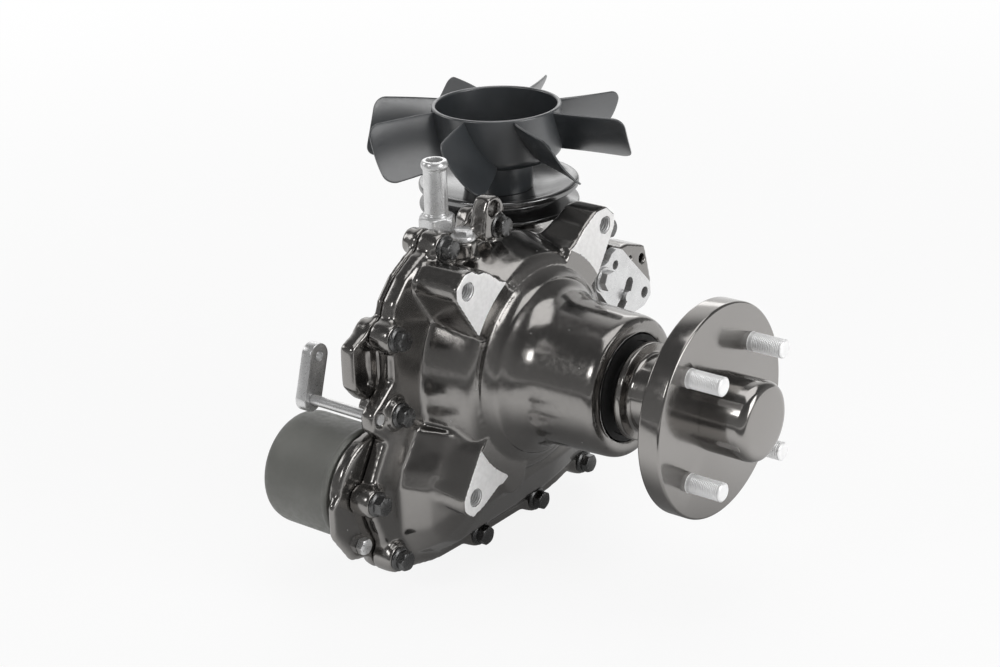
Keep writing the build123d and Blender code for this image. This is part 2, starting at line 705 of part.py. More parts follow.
def charge_rotor():
    """The charge pump's inner rotor, with six rounded lobes."""
    z1 = center_plate_z[0]
    rotor = cyl_z(z1 - 9, z1 - 0.3, 10.2, input_x, input_y)
    for x, y in on_circle(6, 10):
        rotor += cyl_z(z1 - 9, z1 - 0.3, 2.4, input_x + x, input_y + y)
    return rotor - cyl_z(z1 - 9, z1, input_r + seat_gap, input_x, input_y)


# Pulley and fan

def pulley():
    """The pressed pulley: a V groove between two lips, a dished web and a long hub."""
    z0, z1 = pulley_z
    r = pulley_r
    hub = pulley_hub_r
    top = pulley_hub_top()
    web_z = z1 - pulley_dish
    return turned_z([
        (input_r + seat_gap, roof_z + 1.2), (hub, roof_z + 1.2), (hub, z0 + 7), (30, z0 + 7), (38, z0 + 4),
        (47, z0), (r - 0.8, z0), (r, z0 + 0.8), (r, z0 + pulley_lip), (groove_r, z0 + pulley_lip + 4),
        (groove_r, z1 - pulley_lip - 4.5), (r, z1 - pulley_lip - 1), (r, z1 - 0.8), (r - 0.8, z1),
        (r - 4, z1), (40, web_z + 1.5), (27, web_z), (hub, web_z), (hub, top), (input_r + seat_gap, top)])


def fan():
    """The moulded fan: an open cup on a narrow hub, and eight twisted blades."""
    r = cup_outer_r
    web_z = pulley_z[1] - pulley_dish
    bore = fan_thread_r + seat_gap
    around = pulley_hub_r + 0.6
    shell = turned_z([(bore, cup_floor_z - 4), (around, cup_floor_z - 4), (around, web_z), (fan_hub_r, web_z),
                      (fan_hub_r, cup_floor_z - 5), (r - 4, cup_floor_z - 3), (r, cup_floor_z + 1),
                      (r, fan_top_z - 0.8), (r - 0.8, fan_top_z), (r - cup_wall + 0.8, fan_top_z),
                      (r - cup_wall, fan_top_z - 0.8), (r - cup_wall, cup_floor_z + 4),
                      (r - cup_wall - 4, cup_floor_z), (bore, cup_floor_z)])
    for k in range(blade_count):
        shell += Pos(input_x, input_y, 0) * Rot(0, 0, blade_start + 360 * k / blade_count) * blade()
    return shell


def blade_section(reach, sizes):
    """A blade's cambered section on a plane at a distance from the fan's axis."""
    top, bottom, half_angle = sizes
    half = reach * math.tan(math.radians(half_angle))
    camber = 0.09 * (top - bottom)
    middle = (top + bottom) / 2
    t = blade_t / 2
    slope = math.hypot(2 * half, top - bottom)
    ny, nz = (top - bottom) / slope, 2 * half / slope
    a, b = (-half, top), (half, bottom)
    up = [(a[0] + ny * t * 0.6, a[1] + nz * t * 0.6), (ny * (t - camber), middle + nz * (t - camber)),
          (b[0] + ny * t * 0.6, b[1] + nz * t * 0.6)]
    low = [(b[0] - ny * t * 0.6, b[1] - nz * t * 0.6), (ny * (-t - camber), middle + nz * (-t - camber)),
           (a[0] - ny * t * 0.6, a[1] - nz * t * 0.6)]
    plane = Plane(origin=(reach, 0, 0), x_dir=(0, 1, 0), z_dir=(1, 0, 0))
    edges = [ThreePointArc(*up), Line(up[2], low[0]), ThreePointArc(*low), Line(low[2], up[0])]
    return plane * make_face(edges)


def blade():
    """One blade, lofted from the cup to the tip circle, with rounded outer corners."""
    root, end = cup_outer_r - 1.9, fan_tip_r + 1
    body = loft([blade_section(root, blade_root), blade_section(end, blade_tip)], ruled=True)
    low, high = blade_tip[1] - 8, blade_root[0] + 4
    margin = 0.6
    side = make_face(Polyline((0, blade_root[0] + margin), (fan_tip_r, blade_tip[0] + margin),
                              (fan_tip_r, blade_tip[1] - margin), (0, blade_root[1] - margin), close=True))
    side = fillet(side.vertices().sort_by(Axis.X)[-2:], blade_corner_r)
    outline = extrude(Plane.XZ * side, amount=fan_tip_r / 2, both=True)
    return body & cyl_z(low, high, fan_tip_r) & outline


def fan_nut():
    """The nut and washer in the fan's cup."""
    z0 = cup_floor_z
    nut = cyl_z(z0, z0 + 1.8, 11, input_x, input_y) + hex_z(z0 + 1.8, fan_nut_top(), 18, input_x, input_y)
    return nut - cyl_z(z0, fan_nut_top(), fan_thread_r + seat_gap, input_x, input_y)


# Casings

def flange_plate(x0, x1):
    """A casing's flange: the joint face's outline with a round lobe at each bolt."""
    plate = prism_x(flange_outline, x0, x1, 3)
    for y, z in flange_points:
        plate += cyl_x(x0, x1, flange_lobe_r, y, z)
    return plate


def mirrored(points, side):
    """An outline on the far side, or its mirror image on the near side."""
    return [(side * y, z) for y, z in points]


def near_side(x0, x1):
    """A wide slab between two planes across X, for keeping one casing's share of a boss."""
    return box_x(x0, x1, -300, 300, -300, 300)


def upper_arms():
    """The two upper mounting arms. The far one slopes down at its back to pass under the pulley."""
    near = prism_x(mirrored(upper_arm, -1), split_x + flange_t - 1, pad_x, 3)
    far = prism_x(upper_arm, split_x + flange_t - 1, pad_x, 3)
    slope = Polyline((-190, 62), (-179, 68), (-172, 76), (-169, 84), (-168, 100), (-190, 100), close=True)
    return near + (far - extrude(Plane.XZ * make_face(slope), amount=120, both=True))


def lower_arms():
    """The two lower mounting arms, wider at the flange than at the pads, and the near one's lobe."""
    arms = tapered(mirrored(lower_arm_back, -1), split_x + flange_t - 1, mirrored(lower_arm, -1), pad_x)
    arms += tapered(lower_arm_back, split_x + flange_t - 1, lower_arm, pad_x)
    arms += cyl_x(low_ridge_x, pad_x, 12.5, -33.5, -71.5)
    return arms + prism_x([(-60, -62), (-44, -76), (-22, -66), (-22, -50), (-44, -40)], low_ridge_x, pad_x, 3)


def horn():
    """The axle horn: a collar with a rounded edge, a fillet, a bead, the tube and its rounded nose."""
    edge = case_front_r
    return turned_x([(pad_x - 8, 0), (pad_x - 8, edge), (pad_x - 4.5, edge - 1.8), (pad_x - 1.8, edge - 5),
                     (pad_x, edge - 10), (pad_x + 2.5, 63.4), (pad_x + 5.5, 60.6), (pad_x + 7.6, 59.8),
                     (pad_x + 9.2, 58), (pad_x + 12, 54.8), (pad_x + 16, 52.4), (pad_x + 24, horn_r),
                     (nose_x - 6, horn_tip_r), (nose_x - 2.2, horn_tip_r - 0.9), (nose_x, nose_edge_r),
                     (nose_x, 0)])


def horn_housing():
    """The outer casing: flange, gear case, axle horn, mounting arms and the case's lower part."""
    front = split_x + flange_t
    body = flange_plate(split_x, front)
    body += turned_x([(split_x + 1, 0), (split_x + 1, case_back_r), (front, case_back_r),
                      (pad_x - 8, case_front_r), (pad_x - 8, 0)])
    body += tapered(low_back, front - 1, low_ridge, low_ridge_x)
    body += tapered(low_ridge, low_ridge_x, low_front, low_front_x)
    body += horn() + upper_arms() + lower_arms()
    for y, z in flange_points:
        body += cyl_x(split_x, bolt_seat_x, flange_lobe_r - 0.5, y, z)
    body += cyl_x(split_x, arm_x[0] - 2.5, 14, input_y, swash_z)
    body += cyl_x(split_x, front + 8, stop_r + 4, *stop_at)
    body += cyl_x(split_x, front + 3, 13, jack_y, jack_z)
    body += top_ear() + bypass_lug() + far_ear()
    body += cyl_z(80, vent_seat_z, 9.5, *vent_at) & near_side(split_x, pad_x)
    return horn_cuts(body)


def top_ear():
    """The lifting ear on top of the flange."""
    ear = prism_x([(-26, 88), (-22.5, 108), (-18, 117), (-8, 117), (-3, 110), (4, 88)],
                  split_x + 7, bolt_seat_x + 4, 4.5)
    return ear - cyl_x(split_x, bolt_seat_x + 10, 5.4, -13.0, 108.5)


def bypass_lug():
    """The near side's lug, bored for the bypass shaft."""
    outline = [(-104, 20), (-112, 19), (-134, 2), (-135, -9), (-122, -20), (-104, -26)]
    return prism_x(outline, split_x, split_x + flange_t, 3)


def far_ear():
    """The cast ear behind the control arm, with its two holes."""
    outline = [(104, 50), (118, 44), (126, 44), (147, 36.5), (155.5, 4), (146, -2), (112, -8)]
    ear = prism_x(outline, split_x + 4, arm_x[0] - 2, 4)
    ear -= cyl_x(split_x, arm_x[0], 3.4, 143.4, 27.5)
    return ear - cyl_x(split_x, arm_x[0], 1.8, 129.0, 32.0)


def horn_cuts(body):
    """The outer casing with its bores, gear room, bearing seats and bolt holes."""
    inside = split_x - 0.5
    room_end = bull_x[1] + 8
    body -= cyl_x(inside, room_end, gear_room_r)
    body -= cyl_x(inside, nose_x, horn_bore_r)
    body -= cyl_x(outer_bearing_x - outer_axle_bearing[2], nose_x, outer_axle_bearing[1])
    body -= cyl_x(inside, jack_pinion_x[1] + 0.6, 22, jack_y, jack_z)
    body -= cyl_x(inside, jack_pinion_x[1] + 12.5, jack_bearing[1], jack_y, jack_z)
    body -= cyl_x(inside, split_x + motor_bearing[2] + 1.5, motor_bearing[1], motor_y, motor_z)
    body -= cyl_x(inside, arm_x[0] - 2.5, trunnion_r + 2.5, input_y, swash_z)
    body -= cyl_x(arm_x[0] - 7.5, arm_x[0] - 2.5, trunnion_r + 4, input_y, swash_z)
    body -= cyl_x(arm_x[0] - 2.5, pad_x + 20, arm_hub_r + 1, input_y, swash_z)
    body -= cyl_x(split_x + flange_t - 8, pad_x, stop_r, *stop_at)
    for side_y in (-1, 1):
        for side_z in (-1, 1):
            body -= cyl_x(pad_x - pad_hole_depth, pad_x, pad_hole_r, *pad_center(side_y, side_z))
    for y, z in flange_points:
        body -= cyl_x(inside, bolt_seat_x, flange_bolt_r + bolt_gap, y, z)
        body -= cyl_x(bolt_seat_x, pad_x, flange_bolt_head_r + 1.5, y, z)
    for y, z in dowel_points():
        body -= cyl_x(inside, split_x + 6, 3, y, z)
    body -= cyl_x(inside, split_x + flange_t, bypass_shaft_r + run_gap, bypass_y, bypass_z)
    body -= cyl_z(vent_seat_z, vent_seat_z + 12, 9.5, *vent_at)
    return body - cyl_z(vent_seat_z - 10, vent_seat_z, 5, *vent_at)


def pad_center(side_y, side_z):
    """The place of one pad's threaded hole."""
    return side_y * pad_half_y, pad_middle_z + side_z * pad_half_z


def dowel_points():
    """The places of the two dowels in the joint face."""
    return [(-88.0, 66.0), (100.0, -86.0)]


def boss_back(y, z):
    """The back end of an inner boss. Bosses by the filter end at the face that it seals on."""
    if math.hypot(y - filter_y, z - filter_z) < filter_r + flange_lobe_r:
        return filter_seat_x
    return inner_boss_x


def inner_body():
    """The inner casing's outside: flange, cover, drive box, bosses, lug and filter head."""
    body = flange_plate(split_x - inner_flange_t, split_x)
    body += tapered(cover_back_points, cover_back_x, cover_points, split_x)
    body += tapered(box_back_points, back_x, box_points, box_front_x)
    body += cyl_z(40, roof_z, input_bearing[1] + 8, input_x, input_y)
    for y, z in flange_points:
        body += cyl_x(boss_back(y, z), split_x, flange_lobe_r - 1, y, z)
    body += cyl_z(70, barb_seat_z, 15, *barb_at) & near_side(back_x, split_x)
    body += cyl_x(filter_seat_x, split_x, filter_r, filter_y, filter_z)
    return body + near_lug() + filter_bracket()


def inner_room():
    """The hollow of the inner casing, without the bosses that stand in it."""
    around = (20.0, -20.0)
    room = tapered(moved_in(cover_back_points, wall + 1, around), cover_back_x + wall,
                   moved_in(cover_points, wall + 1, around), split_x + 0.5)
    room += tapered(moved_in(box_back_points, wall + 1.5, (70.0, -40.0)), back_x + wall,
                    moved_in(box_points, wall + 1.5, (70.0, -40.0)), box_front_x + 2)
    room -= cyl_x(cover_back_x, inner_bearing_x, inner_axle_bearing[1] + 4)
    for y, z in center_lugs():
        room -= cyl_x(back_x, center_back_x, 8.5, y, z)
    room -= cyl_x(back_x, input_x - swash_r - 1, 12.5, input_y, swash_z)
    return room - cyl_z(roof_z - 20, roof_z, input_bearing[1] + 6, input_x, input_y)


def inboard_housing():
    """The inner casing, hollow, with its seats and bores."""
    return inboard_cuts(inner_body() - inner_room())


def near_lug():
    """The open pocket that stands out on the near side."""
    outline = [(-100, 52), (-119, 55), (-137, 46.5), (-137.5, 19), (-127, 7), (-100, 8)]
    lug = prism_x(outline, split_x - 12, split_x, 3)
    return lug - prism_x(moved_in(outline, 5, (-118, 30)), split_x - 8.5, split_x, 2)


def filter_bracket():
    """The slotted bracket in front of the filter."""
    outline = [(-128, -40), (-150, -44), (-165, -52), (-165, -76), (-149, -99), (-128, -104), (-100, -80)]
    plate = prism_x(outline, split_x - inner_flange_t, split_x, 4)
    slot = [(-144, -64), (-152, -64), (-152, -82), (-144, -80)]
    return plate - prism_x(slot, filter_seat_x, split_x, 2)


def inboard_cuts(body):
    """The inner casing with its bearing seats, bores and threaded holes."""
    width = inner_axle_bearing[2]
    body -= cyl_x(inner_bearing_x - width, inner_bearing_x + 2, inner_axle_bearing[1])
    body -= cyl_x(inner_bearing_x - width - 3, inner_bearing_x, inner_axle_bearing[0] + 5)
    body -= cyl_x(stub_end() - 2, input_x, trunnion_r + 2.5, input_y, swash_z)
    bearing_bottom = roof_z - 6 - input_bearing[2]
    body -= cyl_z(bearing_bottom - 20, roof_z, input_r + 4, input_x, input_y)
    body -= cyl_z(bearing_bottom, roof_z - 6, input_bearing[1], input_x, input_y)
    body -= cyl_z(roof_z - 6, roof_z, input_bearing[1] - 4, input_x, input_y)
    for y, z in flange_points:
        body -= cyl_x(boss_back(y, z), split_x, flange_bolt_r, y, z)
    for y, z in dowel_points():
        body -= cyl_x(split_x - 6, split_x, 3, y, z)
    for y, z in center_lugs():
        body -= cyl_x(center_back_x - 5, center_back_x, 4, y, z)
    body -= cyl_z(barb_seat_z, barb_seat_z + 30, 15, *barb_at)
    body -= cyl_z(barb_seat_z - 12, barb_seat_z, barb_r - 1, *barb_at)
    body -= cyl_z(60, barb_seat_z, barb_bore_r, *barb_at)
    body -= cyl_x(filter_seat_x, split_x - 2, 9, filter_y, filter_z)
    body -= cyl_x(filter_seat_x, split_x, bypass_shaft_r + run_gap, bypass_y, bypass_z)
    body -= cyl_x(back_x, back_x + 8, 7, *drain_at())
    return body - cyl_x(filter_seat_x, split_x, 3, *guard_bolt_at())


def drain_at():
    """The drain plug's place in the back wall."""
    return 66.0, -96.0


def guard_bolt_at():
    """The place of the small plated bolt under the filter bracket's slot."""
    return -140.0, -90.5


# Fasteners and fittings

def flange_bolts():
    """The flanged bolts that hold the casings together."""
    bolts = []
    for y, z in flange_points:
        end = max(boss_back(y, z) + 1, bolt_seat_x - flange_bolt_reach)
        bolt = cyl_x(end, bolt_seat_x, flange_bolt_r, y, z)
        bolt += Pos(0, y, z) * turned_x([(bolt_seat_x, 0), (bolt_seat_x, flange_bolt_head_r),
                                         (bolt_seat_x + 1.4, flange_bolt_head_r), (bolt_seat_x + 2.4, 6.4),
                                         (bolt_seat_x + 2.4, 0)])
        bolt += hex_x(bolt_seat_x + 2, bolt_seat_x + 8, 12, y, z)
        bolts.append(bolt)
    return bolts


def dowel_pins():
    """The two dowels."""
    return [cyl_x(split_x - 5.8, split_x + 5.8, 3, y, z) for y, z in dowel_points()]


def hose_barb():
    """The plated hose fitting, with its hexagon and its beaded end."""
    x, y = barb_at
    z0 = barb_seat_z
    top = barb_top_z
    r = barb_r
    neck = z0 + barb_hex_t + 1
    body = turned_z([(0, z0 - 10), (r - 1, z0 - 10), (r - 1, z0), (r + 1, z0), (r + 1, neck), (r, neck + 1),
                     (r, top - 6), (r + 1.2, top - 4.5), (r + 1.2, top - 2), (r, top), (0, top)], x, y)
    body += Pos(x, y, 0) * Rot(0, 0, 30) * hex_z(z0, z0 + barb_hex_t, barb_hex_af)
    return body - cyl_z(z0 - 10, top, barb_bore_r, x, y)


def vent_plug():
    """The plated plug beside the hose fitting."""
    x, y = vent_at
    z0 = vent_seat_z
    plug = turned_z([(0, z0 - 8), (5, z0 - 8), (5, z0), (8.5, z0), (8.5, z0 + 1.5), (8, z0 + 3),
                     (0, z0 + 3)], x, y)
    return plug + hex_z(z0 + 3, z0 + 7, 11, x, y)


def drain_plug():
    """The plug in the back wall, with its hexagon socket."""
    y, z = drain_at()
    plug = cyl_x(back_x + 1, back_x + 8, 7, y, z) + cyl_x(back_x - 3, back_x, 10, y, z)
    plug += cyl_x(back_x - 0.1, back_x + 1.1, 7, y, z)
    return plug - hex_x(back_x - 3, back_x + 3, 8, y, z)


def filter_nipple():
    """The threaded pipe that the filter screws on."""
    x1 = split_x - 2
    pipe = cyl_x(filter_seat_x - 9, x1, 9, filter_y, filter_z)
    return pipe - cyl_x(filter_seat_x - 9, x1, 6, filter_y, filter_z)


def filter_canister():
    """The filter's drawn can, with its end plate, rounded bottom and open core."""
    x1 = filter_seat_x - filter_seal_t
    x0 = x1 - filter_length
    r = filter_r
    return Pos(0, filter_y, filter_z) * turned_x([
        (x0, 0), (x0, r - 9), (x0 + 1.2, r - 5), (x0 + 4, r - 1.5), (x0 + 9, r), (x1 - 4, r),
        (x1 - 2, r + 0.7), (x1, r - 0.5), (x1, 9.2), (x1 - 10, 9.2), (x1 - 10, 14), (x1 - 3, 14),
        (x1 - 3, r - 1.6), (x0 + 8, r - 1.6), (x0 + 1.8, r - 9), (x0 + 1.8, 0)])


def filter_seal():
    """The ring seal between filter and casing."""
    x1 = filter_seat_x
    ring = cyl_x(x1 - filter_seal_t, x1, filter_r - 6, filter_y, filter_z)
    return ring - cyl_x(x1 - filter_seal_t, x1, filter_r - 11, filter_y, filter_z)


def filter_element():
    """The pleated paper element inside the can."""
    x1 = filter_seat_x - filter_seal_t - 10.2
    x0 = filter_seat_x - filter_seal_t - filter_length + 6.5
    outline = []
    pleats = 24
    for k in range(2 * pleats):
        radius = filter_r - 6 if k % 2 else filter_r - 14
        turn = math.pi * k / pleats
        outline.append((radius * math.cos(turn), radius * math.sin(turn)))
    body = Pos(0, filter_y, filter_z) * prism_x(outline, x0, x1)
    return body - cyl_x(x0, x1, 12, filter_y, filter_z)


def guard_bolt():
    """The small plated bolt in the filter bracket."""
    y, z = guard_bolt_at()
    return cyl_x(filter_seat_x + 1, split_x, 3, y, z) + hex_x(split_x, split_x + 5, 10, y, z)


def bypass_shaft():
    """The bypass shaft, from its lever to the near side's lug."""
    return cyl_x(lever_x[0], split_x + flange_t, bypass_shaft_r, bypass_y, bypass_z)


def bypass_lever():
    """The plated bypass lever, with rounded ends and a rod hole."""
    x0, x1 = lever_x
    y1, z1 = lever_hole
    reach = math.hypot(y1 - bypass_y, z1 - bypass_z)
    turn = math.degrees(math.atan2(z1 - bypass_z, y1 - bypass_y))
    bar = Pos(0, bypass_y, bypass_z) * Rot(turn, 0, 0) * Pos(x0, 0, -lever_w / 2) * Box(
        x1 - x0, reach, lever_w, align=(Align.MIN, Align.MIN, Align.MIN))
    lever = bar + cyl_x(x0, x1, lever_w / 2, y1, z1) + cyl_x(x0, x1, lever_w / 2, bypass_y, bypass_z)
    lever -= cyl_x(x0, x1, lever_hole_r, y1, z1)
    return lever - cyl_x(x0, x1, bypass_shaft_r + seat_gap, bypass_y, bypass_z)


# Build and write

def pieces():
    """Every sub-part by its node name, as one solid or a list of solids."""
    return {
        "horn_housing": horn_housing(),
        "inboard_housing": inboard_housing(),
        "flange_bolts": flange_bolts(),
        "dowel_pins": dowel_pins(),
        "axle_shaft": axle_shaft(),
        "wheel_hub": wheel_hub(),
        "wheel_studs": wheel_studs(),
        "hub_key": hub_key(),
        "hub_nut": hub_nut(),
        "hub_cap": hub_cap(),
        "outer_axle_bearing": bearing_x(outer_axle_bearing, outer_bearing_x),
        "inner_axle_bearing": bearing_x(inner_axle_bearing, inner_bearing_x),
        "axle_seal": axle_seal(),
        "bull_gear": bull_gear(),
        "jackshaft": jackshaft(),
        "jackshaft_gear": jackshaft_gear(),
        "jackshaft_bearings": jackshaft_bearings(),
        "motor_shaft": motor_shaft(),
        "motor_bearing": bearing_x(motor_bearing, split_x + motor_bearing[2] + 0.5, motor_y, motor_z),
        "motor_block": motor_block(),
        "motor_pistons": motor_pistons(),
        "motor_swashplate": motor_swashplate(),
        "center_section": center_section(),
        "center_section_bolts": center_section_bolts(),
        "input_shaft": input_shaft(),
        "input_bearing": input_shaft_bearing(),
        "input_seal": input_seal(),
        "pump_block": pump_block(),
        "pump_pistons": pump_pistons(),
        "swashplate": swashplate(),
        "trunnion_bushes": trunnion_bushes(),
        "trunnion_seal": trunnion_seal(),
        "control_arm": control_arm(),
        "arm_bolt": arm_bolt(),
        "stop_pin": stop_pin(),
        "charge_pump_cover": charge_pump_cover(),
        "charge_rotor": charge_rotor(),
        "pulley": pulley(),
        "fan": fan(),
        "fan_nut": fan_nut(),
        "hose_barb": hose_barb(),
        "vent_plug": vent_plug(),
        "drain_plug": drain_plug(),
        "filter_nipple": filter_nipple(),
        "filter_canister": filter_canister(),
        "filter_seal": filter_seal(),
        "filter_element": filter_element(),
        "guard_bolt": guard_bolt(),
        "bypass_shaft": bypass_shaft(),
        "bypass_lever": bypass_lever(),
    }


def main():
    os.makedirs("parts", exist_ok=True)
    for name, shape in pieces().items():
        solids = shape if isinstance(shape, list) else [shape]
        whole = Compound(children=[solid for piece in solids for solid in piece.solids()])
        export_step(whole, "parts/" + name + ".step")
        print(name, len(whole.solids()), round(whole.volume))


if __name__ == "__main__":
    main()
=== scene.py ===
# %% [markdown]
# # A hydrostatic transaxle, dressed over its measured model
# The drive unit of one wheel: a two-part cast case painted gloss black, a studded wheel hub on
# an axle horn, and a belt pulley with a cooling fan on top. The measured model gives every
# size and place. This script gives the surfaces: soft cast edges, threads, plating and paint.
# The shapes are written in millimetres and turned into Blender's metres by MM. The camera, the
# floor and the lamps are written in metres.

import json
import math

import bmesh
import bpy
import numpy as np
from mathutils import Matrix, Vector


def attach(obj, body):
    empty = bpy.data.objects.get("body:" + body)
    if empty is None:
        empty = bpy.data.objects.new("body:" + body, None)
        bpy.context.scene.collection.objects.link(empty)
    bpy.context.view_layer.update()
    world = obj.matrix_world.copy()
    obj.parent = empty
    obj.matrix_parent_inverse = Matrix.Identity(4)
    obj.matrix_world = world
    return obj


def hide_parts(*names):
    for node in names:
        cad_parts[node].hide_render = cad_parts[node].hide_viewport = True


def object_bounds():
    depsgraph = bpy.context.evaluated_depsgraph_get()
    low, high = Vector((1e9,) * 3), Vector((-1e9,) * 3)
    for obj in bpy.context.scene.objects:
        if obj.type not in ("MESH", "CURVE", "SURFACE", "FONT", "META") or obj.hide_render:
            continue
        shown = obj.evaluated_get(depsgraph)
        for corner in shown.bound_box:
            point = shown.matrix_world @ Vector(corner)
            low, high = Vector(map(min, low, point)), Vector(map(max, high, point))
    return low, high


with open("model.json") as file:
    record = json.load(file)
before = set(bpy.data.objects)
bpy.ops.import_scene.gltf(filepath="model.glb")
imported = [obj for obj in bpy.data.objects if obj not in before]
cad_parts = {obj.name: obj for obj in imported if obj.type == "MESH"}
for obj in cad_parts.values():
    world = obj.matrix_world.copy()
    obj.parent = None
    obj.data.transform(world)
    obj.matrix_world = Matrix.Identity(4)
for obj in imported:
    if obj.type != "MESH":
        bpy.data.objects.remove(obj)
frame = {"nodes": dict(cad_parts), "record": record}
NODES = frame["nodes"]
MM = 0.001
cad_low, cad_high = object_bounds()
print("model box, m:", [round(v, 4) for v in cad_low], [round(v, 4) for v in cad_high])

# %% [markdown]
# ## Camera
# The photograph looks down at the hub's end from the front, through a long lens, with the
# camera leaning a little. A camera is three unit vectors: to its right, up, and back towards
# the photographer. The point of the object at the model's origin sits at a known pixel.

# %% Camera
PHOTO_W, PHOTO_H = 1000, 667
SENSOR_WIDTH = 36
AZIMUTH, ELEVATION, LEAN = (math.radians(a) for a in (38.51, 22.22, -2.0))
FOCAL_PX = 2177.2
DISTANCE = 1.3839
ORIGIN_PX = (721.22, 411.36)

flat_reach = math.cos(ELEVATION)
back = np.array([math.sin(AZIMUTH) * flat_reach, -math.cos(AZIMUTH) * flat_reach, math.sin(ELEVATION)])
level = np.cross([0, 0, 1], back)
level /= np.linalg.norm(level)
lift = np.cross(back, level)
right = level * math.cos(LEAN) + lift * math.sin(LEAN)
up = lift * math.cos(LEAN) - level * math.sin(LEAN)
metres_per_px = DISTANCE / FOCAL_PX
origin_right = (ORIGIN_PX[0] - PHOTO_W / 2) * metres_per_px
origin_down = (ORIGIN_PX[1] - PHOTO_H / 2) * metres_per_px
eye = DISTANCE * back - origin_right * right + origin_down * up

cam_data = bpy.data.cameras.new("view_camera")
cam_data.sensor_width = SENSOR_WIDTH
cam_data.lens = FOCAL_PX * SENSOR_WIDTH / PHOTO_W
camera = bpy.data.objects.new("view_camera", cam_data)
bpy.context.scene.collection.objects.link(camera)
camera_turn = Matrix([[*row] for row in np.stack([right, up, back], 1)])
camera.matrix_world = Matrix.Translation(eye) @ camera_turn.to_4x4()
bpy.context.scene.camera = camera
bpy.context.scene.view_settings.view_transform = "Standard"
print("camera at", eye.round(3), "lens", round(cam_data.lens, 1), "mm")

# %% [markdown]
# ## Node helpers
# A material is a small network. These helpers add a node, set its plain inputs and join it to
# others, so that each finish below reads as a short recipe.

# %% Node helpers


def plug(tree, socket, value):
    """Links a socket where the value is another socket, and sets it to the value otherwise."""
    if isinstance(value, bpy.types.NodeSocket):
        tree.links.new(value, socket)
    else:
        socket.default_value = value


def add(tree, kind, inputs=None, **settings):
    """A new node of a kind. inputs maps a socket's name or number to a value or another socket."""
    node = tree.nodes.new(kind)
    for key, value in settings.items():
        setattr(node, key, value)
    for key, value in (inputs or {}).items():
        plug(tree, node.inputs[key], value)
    return node


def math_node(tree, operation, a, b=0.0, c=0.0):
    """One sum on numbers or sockets."""
    return add(tree, "ShaderNodeMath", {0: a, 1: b, 2: c}, operation=operation).outputs[0]


def vector_node(tree, operation, result, *inputs):
    """One sum on vectors. result names the output that is wanted, Vector or Value."""
    return add(tree, "ShaderNodeVectorMath", dict(enumerate(inputs)), operation=operation).outputs[result]


def span(tree, value, low, high, to_low=0.0, to_high=1.0):
    """value, moved smoothly from the range low..high to the range to_low..to_high."""
    limits = {"Value": value, "From Min": low, "From Max": high, "To Min": to_low, "To Max": to_high}
    return add(tree, "ShaderNodeMapRange", limits, interpolation_type="SMOOTHSTEP").outputs[0]


def blend_colour(tree, factor, first, second):
    """first where factor is 0, second where it is 1. A mix node's colours are sockets 6 and 7."""
    node = add(tree, "ShaderNodeMix", {0: factor}, data_type="RGBA")
    plug(tree, node.inputs[6], first)
    plug(tree, node.inputs[7], second)
    return node.outputs[2]


def grey(value, warm=0.0):
    """A grey with a slight warmth, as a colour with alpha."""
    return (value * (1 + warm), value, value * (1 - warm), 1.0)


def new_group(name, inputs, outputs):
    """An empty node group with named number inputs (with their defaults) and named outputs."""
    group = bpy.data.node_groups.new(name, "ShaderNodeTree")
    for title, default in inputs.items():
        socket = group.interface.new_socket(title, in_out="INPUT", socket_type="NodeSocketFloat")
        socket.default_value = default
    for title in outputs:
        group.interface.new_socket(title, in_out="OUTPUT", socket_type="NodeSocketFloat")
    start = group.nodes.new("NodeGroupInput")
    end = group.nodes.new("NodeGroupOutput")
    return group, start.outputs, end.inputs


# %% [markdown]
# ## Shared groups
# No real surface has one colour and one gloss. Mottle is broad and fine noise that each finish
# uses to vary both. Dust specks are the few pale dots that gloss black always shows: a cell
# pattern with a round dot in some of its cells. Both read Object coordinates, so they stay on
# the piece when it moves.

# %% Shared group: mottle
FINE_OVER_BROAD = 9.0
BROAD_RANGE, FINE_RANGE = (0.35, 0.65), (0.3, 0.7)
mottle, m_in, m_out = new_group("mottle", {"Scale": 60.0, "Detail": 3.0}, ["Broad", "Fine"])
m_place = add(mottle, "ShaderNodeTexCoord").outputs["Object"]
m_broad_inputs = {"Vector": m_place, "Scale": m_in["Scale"], "Detail": m_in["Detail"]}
m_broad = add(mottle, "ShaderNodeTexNoise", m_broad_inputs)
m_fine_scale = math_node(mottle, "MULTIPLY", m_in["Scale"], FINE_OVER_BROAD)
m_fine = add(mottle, "ShaderNodeTexNoise", {"Vector": m_place, "Scale": m_fine_scale, "Detail": 2.0})
mottle.links.new(m_broad.outputs["Fac"], m_out["Broad"])
mottle.links.new(m_fine.outputs["Fac"], m_out["Fine"])
print("group:", mottle.name)

# %% Shared group: dust specks
DOT_EDGE = (0.12, 0.2)
dust_specks, d_in, d_out = new_group("dust_specks", {"Size": 420.0, "Amount": 0.02}, ["Mask"])
d_place = add(dust_specks, "ShaderNodeTexCoord").outputs["Object"]
d_cell = add(dust_specks, "ShaderNodeTexVoronoi", {"Vector": d_place, "Scale": d_in["Size"]}, feature="F1")
d_random = add(dust_specks, "ShaderNodeSeparateColor", {0: d_cell.outputs["Color"]}).outputs[0]
d_chosen = math_node(dust_specks, "LESS_THAN", d_random, d_in["Amount"])
d_spot = span(dust_specks, d_cell.outputs["Distance"], *DOT_EDGE, 1.0, 0.0)
dust_specks.links.new(math_node(dust_specks, "MULTIPLY", d_chosen, d_spot), d_out["Mask"])
print("group:", dust_specks.name)

